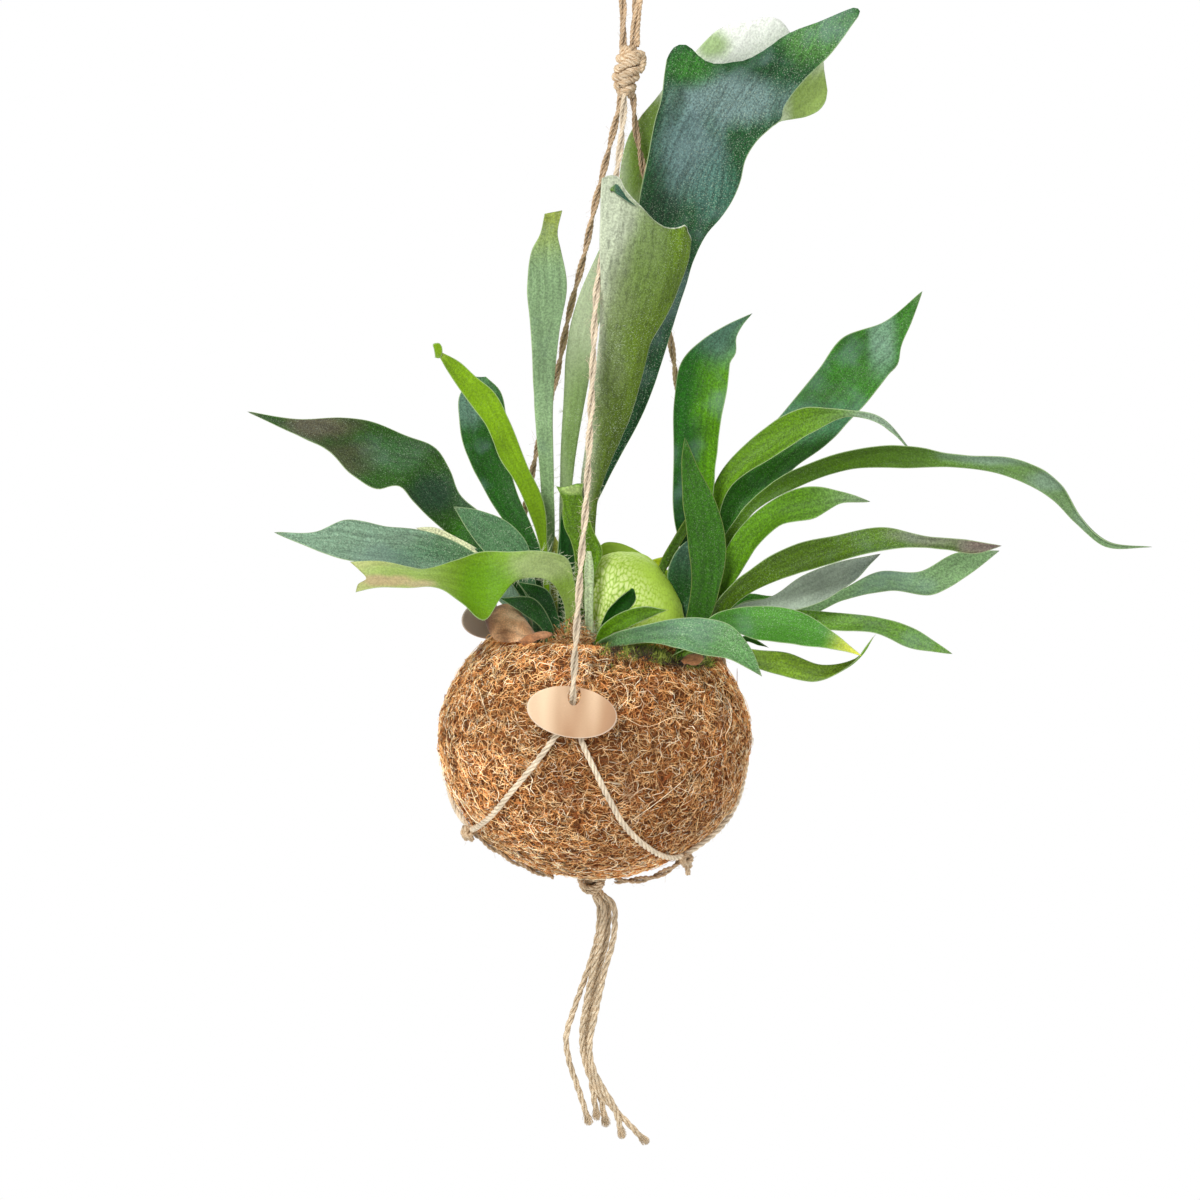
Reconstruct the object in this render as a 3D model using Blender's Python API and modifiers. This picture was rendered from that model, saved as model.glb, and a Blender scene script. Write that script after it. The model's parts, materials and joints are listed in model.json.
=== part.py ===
"""A staghorn fern growing in a ball of coconut fibre, which hangs in a knotted jute cord hanger.

All design points are in millimetres from the middle of the ball: x to the right, y away from
the viewer, z up. The whole plant hangs below the inside top of the hanger's loop.
"""
import math

import bmesh
import bpy
import numpy as np
from mathutils import Matrix, Vector

MM = 0.001

# The ball of fibre, a squat round shell that is open at the top
BALL_RADIUS = 85
BALL_HALF_HEIGHT = 75
BALL_WALL = 8
BALL_LUMP = 1.1
RIM_HEIGHT = 50
RIM_SLOPE = 4.4
FRONT_LIP = 9
CLEARANCE = 0.4

# What the ball holds
SOIL_TOP = 40
SOIL_SLOPE = 0.07
MOSS_RADIUS = 53
MOSS_EDGE = 2.6
MOSS_RISE = 15

# The hanger
LOOP_INSIDE_TOP = (3, 0, 442)
LEG_DIAMETER = 4.6
STRAND_DIAMETER = 3.4
UNDER_DIAMETER = 4.4
TASSEL_DIAMETER = 3.3
TOP_KNOT = (3.3, 0, 365)
BOTTOM_KNOT = (3, 1.5, -81.2)
RING_KNOT_RADIUS = 4.8
BOTTOM_KNOT_RADIUS = 5.4
KNOT_RELIEF = 0.05

# The oval tags
TAG_WIDTH = 48
TAG_HEIGHT = 29
TAG_THICKNESS = 1.2

# The fronds
BLADE_THICKNESS = 1.2
BASE_WIDTH = 4.2

COIR = (0.30, 0.15, 0.06)
SOIL = (0.05, 0.03, 0.02)
MOSS = (0.09, 0.11, 0.03)
LIME_GREEN = (0.42, 0.60, 0.10)
BLUE_GREEN = (0.05, 0.13, 0.08)
DARK_GREEN = (0.03, 0.11, 0.03)
MID_GREEN = (0.07, 0.20, 0.04)
OLIVE_GREEN = (0.11, 0.20, 0.05)
VIVID_GREEN = (0.17, 0.38, 0.02)
PALE_GREEN = (0.27, 0.38, 0.16)
DRY_BROWN = (0.35, 0.20, 0.12)
JUTE = (0.55, 0.40, 0.24)
TAG_TAN = (0.62, 0.42, 0.28)

# Plain holes through the moss that the stems stand in: middle x, y and half widths
STEM_HOLES = (
    (-19, 1, 22, 26),
    (-1, -31.5, 9.5, 11),
    (45.5, 0, 6, 23),
    (39.5, -21.5, 6.5, 6.5),
    (20, -14, 5, 3),
    (12, 12, 5, 3),
    (-37, -22, 5, 3),
)

# Each frond stands on the soil at its base and runs between the points of its two edges.
# Where its far end isn't a point or a straight cut, end runs along it from left to right.
FRONDS = {
    "frond_tall_dark": dict(
        base=(-4, 3), cup=3, ripple=2, colour=BLUE_GREEN,
        left=((-6, 2, 108), (-2, -1, 138), (10, -5, 175), (16, -8, 219), (15, -9, 265), (12, -10, 299),
              (17, -11, 324), (24, -12, 359), (33, -12, 380)),
        right=((0, 2, 108), (6, -2, 144), (20, -3, 183), (35, 0, 235), (46, 2, 270), (64, 8, 300),
              (76, 12, 331), (89, 16, 353), (109, 21, 377), (127, 26, 403)),
        end=((33, -12, 380), (46, -4, 372), (56, 3, 371), (69, 11, 374), (90, 18, 388), (127, 26, 403)),
    ),
    "frond_pale_funnel": dict(
        base=(-8, -11), cup=-9, ripple=0, colour=PALE_GREEN,
        left=((-10, -13, 101), (-9, -18, 138), (-7, -24, 182), (-5, -27, 212), (-2.5, -28, 232), (-1.5, -30, 249),
              (-6, -33.5, 266), (-8, -31, 286), (-7, -24, 308)),
        right=((-4, -13, 104), (1, -18, 149), (9, -21, 170), (16, -23, 190), (24, -22, 224),
              (34, -20, 245), (39, -18, 265), (41, -16, 279)),
        end=((-7, -24, 308), (0, -22, 311), (6, -21, 299), (16, -19, 291), (25, -18, 285),
              (41, -16, 279)),
    ),
    "frond_back_pale": dict(
        base=(-20, 14), cup=-4, ripple=2, colour=PALE_GREEN,
        left=((-24, 14, 119), (-23, 14, 160), (-21, 14, 197), (-17, 14, 229), (-11, 14, 261),
              (-4, 12, 287), (4, 12, 317), (12, 13, 338), (24, 14, 359), (41, 16, 378)),
        right=((-19, 14, 119), (-16, 14, 160), (-11, 14, 197), (-6, 16, 230), (6, 17, 262),
              (30, 21, 288), (56, 26, 308), (83, 31, 334), (105, 36, 349), (112, 38, 362)),
        end=((41, 16, 378), (50, 20, 391), (69, 25, 396), (88, 29, 393), (105, 34, 380), (112, 38, 362)),
    ),
    "frond_narrow_upright": dict(
        base=(-26, 6), cup=1.5, ripple=0, colour=MID_GREEN,
        left=((-31, 6, 103), (-35, 5, 142), (-40, 3, 186), (-43, 1, 224), (-46, -1, 249), (-44, 0, 267),
              (-40, 2, 276), (-38, 3, 287)),
        right=((-26, 6, 104), (-28, 5, 142), (-30, 5, 186), (-28, 5, 224), (-25, 5, 250), (-29, 4, 268),
              (-31, 4, 276), (-29, 5, 289)),
    ),
    "frond_vivid": dict(
        base=(-28, -4), cup=2, ripple=0, colour=VIVID_GREEN,
        left=((-34, -5, 107), (-46, -9, 137), (-58, -13, 157), (-65, -15, 172), (-72, -18, 182),
              (-81, -21, 194), (-88, -23, 204), (-93, -25, 213)),
        right=((-30, -5, 108), (-32, -6, 128), (-43, -8, 152), (-53, -11, 175), (-62, -14, 191),
              (-72, -17, 199), (-81, -21, 207), (-93, -25, 213)),
    ),
    "frond_dark_round": dict(
        base=(-31, 10), cup=2.5, ripple=0, colour=DARK_GREEN,
        left=((-39, 10, 100), (-53, 11, 116), (-66, 13, 135), (-77, 15, 156), (-81, 19, 172),
              (-81, 24, 186), (-73, 30, 195)),
        right=((-33, 10, 100), (-40, 13, 117), (-48, 17, 133), (-54, 23, 153), (-56, 27, 175),
              (-60, 30, 188), (-68, 32, 195)),
    ),
    "frond_far_left": dict(
        base=(-27, 19), cup=3, ripple=3, colour=DARK_GREEN,
        left=((-45, 20, 83), (-71, 21, 99), (-90, 19, 113), (-105, 15, 127), (-112, 14, 134),
              (-124, 11, 132), (-139, 12, 139), (-152, 15, 152), (-168, 20, 159), (-198, 26, 171)),
        right=((-39, 20, 91), (-63, 23, 117), (-80, 25, 130), (-86, 27, 143), (-93, 28, 154),
              (-111, 29, 162), (-131, 28, 169), (-146, 25, 170), (-169, 24, 168), (-198, 26, 171)),
    ),
    "frond_left_low": dict(
        base=(-33, 1), cup=2.5, ripple=1.5, colour=BLUE_GREEN,
        left=((-55, 0, 75), (-80, -4, 87), (-97, -11, 92), (-117, -15, 95), (-136, -18, 96),
              (-153, -16, 101), (-178, -16, 110)),
        right=((-50, 0, 86), (-70, 0, 101), (-98, 3, 112), (-117, 1, 114), (-140, -2, 117),
              (-156, -8, 110), (-178, -16, 110)),
    ),
    "frond_short_left": dict(
        base=(-30, -9), cup=2, ripple=0, colour=DARK_GREEN,
        left=((-42, -10, 83), (-53, -15, 95), (-65, -19, 106), (-72, -22, 115), (-81, -25, 129)),
        right=((-36, -10, 89), (-42, -9, 110), (-52, -11, 120), (-66, -16, 126), (-81, -25, 129)),
    ),
    "frond_arching": dict(
        base=(-15, -20), cup=3, ripple=1.5, colour=VIVID_GREEN,
        left=((-21, -26, 82), (-28, -34, 92), (-43, -43, 93), (-53, -53, 84), (-62, -62, 73),
              (-73, -64, 81), (-85, -65, 89), (-103, -71, 90), (-119, -74, 90), (-129, -77, 88)),
        right=((-14, -26, 89), (-20, -32, 105), (-33, -37, 108), (-49, -39, 107), (-64, -40, 107),
              (-78, -48, 103), (-94, -57, 99), (-111, -61, 102), (-122, -66, 103), (-133, -67, 102)),
        end=((-129, -77, 88), (-128, -74, 92), (-124, -72, 95), (-128, -70, 99), (-133, -67, 102)),
    ),
    "frond_curled_young": dict(
        base=(-20, -15), cup=3, ripple=0, colour=VIVID_GREEN,
        left=((-18, -17, 88), (-20, -20, 110), (-23, -21, 126), (-26, -23, 142)),
        right=((-13, -17, 88), (-13, -18, 110), (-12, -19, 126), (-13, -21, 143)),
    ),
    "frond_bud": dict(
        base=(-5, -25), cup=1.5, ripple=0, colour=PALE_GREEN,
        left=((-8, -26, 81), (-9, -27, 95), (-8, -28, 108)),
        right=((-4, -26, 81), (-4, -27, 95), (-6, -28, 108)),
    ),
    "frond_small_dark": dict(
        base=(2, -29), cup=2, ripple=0, colour=DARK_GREEN,
        left=((3, -33, 79), (10, -37, 87), (15, -40, 89)),
        right=((11, -33, 73), (18, -35, 80), (20, -38, 86)),
    ),
    "frond_small_bright": dict(
        base=(0, -33.5), cup=1.5, ripple=0, colour=VIVID_GREEN,
        left=((1, -37, 68), (10, -40, 76), (22, -44, 81), (37, -50, 81)),
        right=((6, -37, 64), (15, -42, 69), (25, -46, 75), (37, -50, 81)),
    ),
    "frond_front_right": dict(
        base=(0, -38), neck=((1.5, -40, 58),), cup=3, ripple=1, colour=BLUE_GREEN,
        left=((7, -48, 66), (21, -56, 72), (38, -60, 77), (55, -64, 79), (69, -68, 77), (80, -74, 67),
              (87, -82, 52)),
        right=((10, -48, 60), (25, -58, 64), (41, -70, 64), (57, -78, 61), (69, -82, 60), (79, -82, 56),
              (87, -82, 52)),
    ),
    "frond_upright_right": dict(
        base=(46, 2), cup=3, ripple=1.5, colour=MID_GREEN,
        left=((46, 2, 96), (39, 3, 123), (37, 4, 159), (36, 4, 189), (40, 3, 211), (50, 1, 222),
              (63, -2, 231), (76, -5, 238)),
        right=((56, 2, 102), (59, 1, 127), (61, -2, 162), (63, -4, 188), (65, -5, 208), (68, -5, 221),
              (72, -4, 230), (76, -5, 238)),
    ),
    "frond_narrow_front": dict(
        base=(42.5, -18.5), cup=2.5, ripple=0, colour=DARK_GREEN,
        left=((49, -23, 97), (45, -26, 121), (42, -28, 143), (41, -28, 159), (42, -30, 172)),
        right=((64, -23, 88), (67, -22, 111), (61, -22, 135), (50, -26, 155), (42, -30, 172)),
    ),
    "frond_right_big": dict(
        base=(47, 12.5), cup=3, ripple=2.5, colour=DARK_GREEN,
        left=((57, 14, 100), (64, 16, 130), (77, 22, 158), (98, 30, 184), (116, 37, 206),
              (128, 44, 222), (151, 49, 232), (172, 56, 250)),
        right=((66, 14, 95), (79, 14, 130), (101, 14, 150), (123, 18, 168), (141, 25, 189),
              (153, 32, 207), (163, 43, 226), (172, 56, 250)),
    ),
    "frond_bright_right": dict(
        base=(48, 9), cup=2.5, ripple=1.5, colour=VIVID_GREEN,
        left=((55, 8, 112), (62, 6, 148), (84, 5, 173), (106, -1, 187), (126, -8, 188), (146, -13, 186),
              (167, -20, 166)),
        right=((60, 8, 108), (69, 4, 142), (93, -3, 162), (112, -7, 176), (131, -10, 185),
              (147, -15, 182), (167, -20, 166)),
    ),
    "frond_long_arc": dict(
        base=(48, -5), cup=2.5, ripple=0, colour=OLIVE_GREEN,
        left=((64, -8, 112), (77, -10, 134), (97, -15, 152), (126, -22, 166), (163, -30, 172),
              (189, -37, 169), (217, -44, 169), (242, -49, 158), (254, -51, 140), (268, -54, 128),
              (292, -57, 126)),
        right=((69, -8, 105), (82, -10, 131), (105, -13, 146), (132, -18, 157), (164, -26, 160),
              (187, -33, 162), (215, -40, 159), (239, -45, 148), (251, -49, 137), (267, -52, 125),
              (292, -57, 126)),
    ),
    "frond_right_mid": dict(
        base=(47, -12), cup=2.5, ripple=1.5, colour=MID_GREEN,
        left=((62, -16, 98), (75, -18, 124), (91, -22, 139), (108, -28, 147), (125, -36, 147),
              (142, -46, 143)),
        right=((73, -16, 94), (84, -22, 113), (96, -30, 127), (113, -36, 132), (127, -40, 141),
              (142, -46, 143)),
    ),
    "frond_right_long": dict(
        base=(46, -15.5), cup=2.5, ripple=1.5, colour=MID_GREEN,
        left=((67, -22, 88), (83, -29, 104), (104, -34, 117), (123, -41, 123), (148, -50, 130),
              (174, -61, 127), (192, -69, 127), (210, -78, 126)),
        right=((76, -22, 84), (96, -31, 97), (120, -42, 107), (140, -51, 115), (158, -58, 120),
              (181, -67, 122), (197, -73, 121), (210, -78, 126)),
    ),
    "frond_grey": dict(
        base=(47, -8.5), cup=2, ripple=0, colour=OLIVE_GREEN,
        left=((76, -12, 80), (93, -13, 85), (109, -14, 97), (125, -19, 105), (150, -29, 113)),
        right=((80, -12, 76), (101, -17, 78), (120, -24, 85), (136, -27, 97), (150, -29, 113)),
    ),
    "frond_right_back": dict(
        base=(46.5, 5.5), cup=2, ripple=1.5, colour=MID_GREEN,
        left=((81, 5, 80), (110, 7, 80), (131, 9, 87), (153, 13, 98), (176, 17, 98), (194, 20, 108),
              (219, 22, 111)),
        right=((84, 5, 75), (113, 5, 73), (134, 7, 82), (159, 9, 88), (183, 11, 87), (200, 14, 97),
              (219, 22, 111)),
    ),
    "frond_right_behind": dict(
        base=(44.5, 15.5), cup=1.5, ripple=0, colour=MID_GREEN,
        left=((62, 18, 77), (72, 21, 79), (83, 25, 81), (99, 30, 79)),
        right=((64, 18, 73), (74, 19, 73), (84, 23, 74), (99, 30, 79)),
    ),
    "frond_broad": dict(
        base=(40, -22), cup=2.5, ripple=1.5, colour=VIVID_GREEN,
        left=((63, -31, 77), (83, -37, 83), (105, -44, 83), (125, -58, 73), (140, -68, 63)),
        right=((66, -31, 68), (87, -47, 66), (107, -60, 66), (126, -64, 66), (140, -68, 63)),
    ),
    "frond_right_low": dict(
        base=(46.5, -1.5), cup=2, ripple=1.5, colour=MID_GREEN,
        left=((79, -5, 75), (104, -8, 78), (123, -11, 78), (156, -20, 76), (171, -25, 72),
              (191, -35, 61)),
        right=((82, -5, 69), (107, -10, 68), (130, -17, 68), (151, -24, 69), (168, -29, 63),
              (191, -35, 61)),
    ),
    "frond_right_lowest": dict(
        base=(37, -25), neck=((42, -27.5, 51),), cup=2, ripple=1, colour=VIVID_GREEN,
        left=((69, -34, 61), (87, -37, 59), (102, -38, 58), (121, -41, 53), (138, -45, 58),
              (148, -50, 72)),
        right=((71, -34, 57), (85, -39, 50), (98, -42, 47), (117, -45, 45), (134, -47, 53),
              (148, -50, 72)),
    ),
}

# The round shield leaves, in the same form
SHIELDS = {
    "shield_green": dict(
        base=(20, -14), cup=-9, ripple=0, colour=LIME_GREEN,
        left=((18, -14, 57), (4, -15, 62), (-2, -11, 76), (-1, -5, 92), (6, 0, 102), (18, 2, 107)),
        right=((22, -14, 57), (37, -14, 58), (46, -9, 68), (47, -4, 82), (41, 0, 95), (30, 2, 104)),
        end=((18, 2, 107), (24, 2, 107), (30, 2, 104)),
    ),
    "shield_back": dict(
        base=(12, 12), cup=-3, ripple=1.5, colour=LIME_GREEN,
        left=((10, 12, 58), (4, 14, 66), (0, 14, 84), (0, 14, 100), (4, 15, 107)),
        right=((14, 12, 58), (32, 14, 62), (43, 15, 78), (38, 16, 92), (24, 16, 101)),
        end=((4, 15, 107), (12, 16, 107), (24, 16, 101)),
    ),
    "shield_brown": dict(
        base=(-37, -22), cup=-4, ripple=1, colour=DRY_BROWN,
        left=((-38, -25, 58), (-46, -28, 60), (-55, -26, 61), (-60, -21, 65)),
        right=((-36, -19, 62), (-42, -15, 70), (-51, -12, 75), (-58, -14, 73)),
        end=((-60, -21, 65), (-61, -17, 69), (-58, -14, 73)),
    ),
}

# The cords that run through the air, point by point
LOOP_ROUTE = (
    (0.5, 0, 377.8), (0.4, 0, 390), (-0.8, 0, 403), (-4.5, 0, 417), (-6.5, 0, 429), (-3.6, 0, 440),
    (3, 0, 444.5), (9.6, 0, 440), (12.5, 0, 429), (10, 0, 417), (6.6, 0, 403), (6.0, 0, 390),
    (6.1, 0, 377.8),
)
LEG_ROUTES = {
    "leg_front": (
        (2.4, -2.9, 353), (1.6, -9.8, 328), (0, -14.2, 312), (-3.9, -23.2, 277), (-7.8, -29.6, 255),
        (-8.7, -35, 238), (-8.7, -41, 216), (-8.9, -48.8, 186), (-9.3, -60.7, 143), (-10.6, -68.9, 113),
        (-11.9, -81.6, 67), (-12.2, -88.6, 48), (-12.3, -90.1, 42.2), (-12.3, -87, 36.8),
        (-12.3, -83.8, 32), (-12.3, -83, 28), (-12.3, -83.4, 24.6),
    ),
    "leg_back_left": (
        (0.9, 2.3, 353), (-3, 5.6, 332), (-6.8, 8.7, 314), (-10.6, 11.9, 296), (-16.4, 17.6, 263),
        (-22.2, 22.1, 237), (-29.4, 29.6, 194), (-38, 36.2, 156), (-43.6, 42.1, 122),
        (-49.6, 48.8, 84), (-56.2, 55.4, 46), (-59.8, 59.2, 26),
    ),
    "leg_back_right": (
        (6.7, 2.3, 353), (9.3, 4.3, 334), (14.6, 7.1, 311), (23.5, 12.5, 267), (32.5, 18, 222),
        (37.4, 21.1, 197), (52, 29.8, 126), (66.4, 38.6, 54), (73.3, 42.1, 26.5),
    ),
}

# The cords that lie on the ball, as (direction in degrees, height)
STRAND_ROUTES = {
    "strand_front_left": (
        (-99.6, 23.6), (-103, 17), (-110.5, 1), (-119.5, -15), (-131.8, -31), (-148, -42), (-162, -47),
    ),
    "strand_front_right": (
        (-97.2, 23.6), (-95.2, 16), (-89.8, 0), (-83.6, -17), (-77.7, -30), (-67, -43), (-52.3, -53),
        (-36, -58), (-23, -59.5),
    ),
    "strand_left_front": ((136.6, 24), (141, 13), (160, -14), (180, -36), (198, -47)),
    "strand_left_back": ((134.2, 24), (130, 13), (116, -16), (100, -40), (83, -52)),
    "strand_right_front": ((28.6, 25), (24, 13), (9, -16), (-8, -44), (-23, -59.5)),
    "strand_right_back": ((31, 25), (35, 13), (50, -16), (66, -40), (83, -52)),
}
RING_KNOTS = {
    "ring_knot_left": (-162, -47),
    "ring_knot_right": (-23, -59.5),
    "ring_knot_back": (83, -52),
}
UNDER_ROUTES = {
    "under_left": ((-162, -47), (-160, -59), (-156, -68), (-152, -72.6)),
    "under_right": ((-23, -59.5), (-24, -66), (-27, -71), (-30, -73.6)),
    "under_back": ((83, -52), (83, -62), (84, -69), (85, -73)),
}

# The five loose ends below the bottom knot
TASSEL_ROUTES = {
    "tassel_1": (
        (4, -2.2, -86.6), (8, -2.2, -92.3), (8.3, -2, -106), (3.3, -2, -134), (0.7, -1.5, -151),
        (-0.5, -1, -165), (0.5, -0.5, -176), (3.7, 0, -187), (10.3, 0, -199), (19, 0, -208),
        (37.6, 0, -226),
    ),
    "tassel_2": (
        (7.8, -1.8, -86), (13.6, -2, -91), (15.2, -2, -102), (9.9, -2.5, -133), (6, -3.5, -156),
        (4, -4.5, -172), (6.3, -4.5, -184), (12, -4, -195), (18.7, -4, -205), (24, -4, -222),
    ),
    "tassel_3": (
        (2.4, 2, -86), (5.6, 2, -92), (6.4, 2, -106), (3, 2, -124), (-1.5, 2, -139), (-5.9, 2, -154),
        (-9.2, 2, -169), (-7.1, 2, -182), (-2.1, 2.5, -196), (5.4, 3, -217),
    ),
    "tassel_4": (
        (6.2, 2, -86), (10.6, 2, -92), (11.5, 2, -106), (6.8, 2.2, -134), (4.5, 2.6, -151),
        (3.5, 3, -165), (3.3, 3.4, -176), (4.6, 3.8, -187), (6.8, 4, -199), (9.8, 4, -214),
    ),
    "tassel_5": (
        (4.6, 5.4, -86), (8.8, 5.6, -92), (10, 5.7, -106), (5, 5.9, -134), (2.9, 6.2, -151),
        (1.8, 6.7, -165), (2.2, 7.1, -176), (5.5, 7.5, -187), (9.8, 7.7, -199), (15, 7.8, -219),
    ),
}


def clear_scene():
    for thing in list(bpy.data.objects):
        bpy.data.objects.remove(thing, do_unlink=True)


def collection(name):
    made = bpy.data.collections.new(name)
    bpy.context.scene.collection.children.link(made)
    return made


def material(name, colour, roughness=0.6):
    made = bpy.data.materials.get(name)
    if made is None:
        made = bpy.data.materials.new(name)
        made.use_nodes = True
        shader = made.node_tree.nodes["Principled BSDF"]
        shader.inputs["Base Color"].default_value = (*colour, 1)
        shader.inputs["Roughness"].default_value = roughness
    return made


def add_object(name, data, finish, parent):
    made = bpy.data.objects.new(name, data)
    made.parent = parent
    data.materials.append(finish)
    PLANT.objects.link(made)
    return made


def mesh_from(builder, name):
    data = bpy.data.meshes.new(name)
    builder.to_mesh(data)
    builder.free()
    data.shade_smooth()
    return data


def modifier(target, kind, name, **settings):
    made = target.modifiers.new(name, kind)
    for key, value in settings.items():
        setattr(made, key, value)
    return made


def smooth_curve(points, count):
    """Read count points evenly along a smooth curve that passes through the given points."""
    p = np.array(points, float)
    t = np.concatenate([[0], np.cumsum(np.linalg.norm(np.diff(p, axis=0), axis=1))])
    slope = np.gradient(p, t, axis=0)
    s = np.linspace(0, t[-1], count)
    i = np.clip(np.searchsorted(t, s, side="right") - 1, 0, len(t) - 2)
    h = (t[i + 1] - t[i])[:, None]
    f = (s - t[i])[:, None] / h
    return (
        (2 * f**3 - 3 * f**2 + 1) * p[i] + (f**3 - 2 * f**2 + f) * h * slope[i]
        + (3 * f**2 - 2 * f**3) * p[i + 1] + (f**3 - f**2) * h * slope[i + 1]
    )


def ball_point(turn, height, outward):
    """A place on the ball's outer surface, moved outward along its normal. turn is in radians."""
    height = max(-BALL_HALF_HEIGHT, min(BALL_HALF_HEIGHT, height))
    radius = BALL_RADIUS * math.sqrt(1 - (height / BALL_HALF_HEIGHT) ** 2)
    across = Vector((math.cos(turn), math.sin(turn), 0))
    normal = across * (radius / BALL_RADIUS**2) + Vector((0, 0, height / BALL_HALF_HEIGHT**2))
    evenness = radius / BALL_RADIUS
    lump = BALL_LUMP * evenness * math.sin(3 * turn + 0.06 * height) * math.cos(0.05 * height + turn)
    return across * radius + Vector((0, 0, height)) + normal.normalized() * (outward + lump)


def rim_height(turn):
    """The open edge dips to the right and has a higher lip at the front."""
    return RIM_HEIGHT - RIM_SLOPE * math.cos(turn) + FRONT_LIP * max(0, -math.sin(turn)) ** 2.5


def soil_height(x):
    return SOIL_TOP - SOIL_SLOPE * x


def moss_height(x, y):
    """The moss is a low dome that thins out to its round edge."""
    reach = min(1, math.hypot(x, y) / MOSS_RADIUS)
    return soil_height(x) + MOSS_EDGE + MOSS_RISE * (1 - reach**2.5)


def sphere_grid(turns, rows):
    """A unit sphere whose points carry their row, from 0 at the bottom to rows at the top."""
    builder = bmesh.new()
    bmesh.ops.create_uvsphere(builder, u_segments=turns, v_segments=rows, radius=1)
    return builder


def polar(point):
    """The direction round the axis, and the share of the way from the bottom to the top."""
    return math.atan2(point.y, point.x), math.acos(max(-1, min(1, -point.z))) / math.pi


def make_shell(parent):
    turns, rows, kept = 36, 19, 13
    builder = sphere_grid(turns, rows)
    top = [v for v in builder.verts if polar(v.co)[1] > (kept + 0.5) / rows]
    bmesh.ops.delete(builder, geom=top, context="VERTS")
    for v in builder.verts:
        turn, share = polar(v.co)
        swing = math.acos(-rim_height(turn) / BALL_HALF_HEIGHT) * share * rows / kept
        v.co = ball_point(turn, -BALL_HALF_HEIGHT * math.cos(swing), 0) * MM
    bmesh.ops.triangulate(builder, faces=builder.faces)
    shell = add_object("coir_shell", mesh_from(builder, "coir_shell"), material("coir", COIR, 0.95), parent)
    modifier(shell, "SOLIDIFY", "wall", thickness=BALL_WALL * MM, offset=-1)


def make_soil(parent):
    turns, rows, level = 28, 14, 10
    builder = sphere_grid(turns, rows)
    inset = -(BALL_WALL + 1.6)
    for v in builder.verts:
        turn, share = polar(v.co)
        row = share * rows
        edge_height = soil_height(BALL_RADIUS * 0.72 * math.cos(turn)) + 5.4
        swing = math.acos(-edge_height / BALL_HALF_HEIGHT) * min(row, level) / level
        place = ball_point(turn, -BALL_HALF_HEIGHT * math.cos(swing), inset)
        if row > level:
            place *= (rows - row) / (rows - level)
        if row > level - 0.5:
            place.z = soil_height(place.x)
        v.co = place * MM
    add_object("root_ball", mesh_from(builder, "root_ball"), material("soil", SOIL, 0.95), parent)


def make_moss(parent):
    turns, rows = 28, 12
    builder = sphere_grid(turns, rows)
    for v in builder.verts:
        turn, share = polar(v.co)
        reach = MOSS_RADIUS * math.sin(math.pi * share)
        x, y = reach * math.cos(turn), reach * math.sin(turn)
        z = soil_height(x) + CLEARANCE if share < 0.49 else moss_height(x, y)
        v.co = Vector((x, y, z)) * MM
    moss = add_object("moss_top", mesh_from(builder, "moss_top"), material("moss", MOSS, 0.95), parent)
    cutters = [stem_hole(number, hole, parent) for number, hole in enumerate(STEM_HOLES, 1)]
    for cutter in cutters:
        modifier(moss, "BOOLEAN", cutter.name, operation="DIFFERENCE", object=cutter)


def stem_hole(number, hole, parent):
    x, y, half_x, half_y = hole
    builder = bmesh.new()
    bmesh.ops.create_cone(builder, cap_ends=True, segments=20, radius1=1, radius2=1, depth=60 * MM)
    bmesh.ops.scale(builder, vec=(half_x * MM, half_y * MM, 1), verts=builder.verts)
    cutter = bpy.data.objects.new(f"stem_hole_{number}", mesh_from(builder, "stem_hole"))
    cutter.location = Vector((x, y, SOIL_TOP + 10)) * MM
    cutter.parent = parent
    cutter.hide_render = True
    cutter.display_type = "WIRE"
    CUTTERS.objects.link(cutter)
    return cutter


def blade_grid(spec, rows, columns):
    """The blade's points, row by row from its base: straight across between its two edges, then
    drawn out to the shape of its far end, hollowed by cup and waved by ripple."""
    x, y = spec["base"]
    stem = [(x, y, soil_height(x) + CLEARANCE + BLADE_THICKNESS / 4), *spec.get("neck", ())]
    left = smooth_curve([(a - BASE_WIDTH / 2, b, c) for a, b, c in stem] + [*spec["left"]], rows)[:, None]
    right = smooth_curve([(a + BASE_WIDTH / 2, b, c) for a, b, c in stem] + [*spec["right"]], rows)[:, None]
    across = np.linspace(0, 1, columns)[None, :, None]
    along = np.linspace(0, 1, rows)[:, None, None]
    grid = left * (1 - across) + right * across
    if "end" in spec:
        drawn = smooth_curve(spec["end"], columns)[None] - grid[-1:]
        pull = np.clip((along - 0.55) / 0.45, 0, 1) ** 2
        grid = grid + drawn * pull
    width = np.linalg.norm(right - left, axis=2, keepdims=True)
    facing = np.cross(np.gradient(grid, axis=0), right - left + 1e-9)
    facing /= np.linalg.norm(facing, axis=2, keepdims=True) + 1e-9
    facing *= np.sign(-facing[:, :, 1:2].mean()) * width / width.max()
    side = 2 * across - 1
    hollow = spec["cup"] * (1 - side**2)
    wave = spec["ripple"] * side * abs(side) * np.sin(3 * math.pi * along + spec["base"][0])
    return grid + facing * (wave - hollow)


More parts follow.
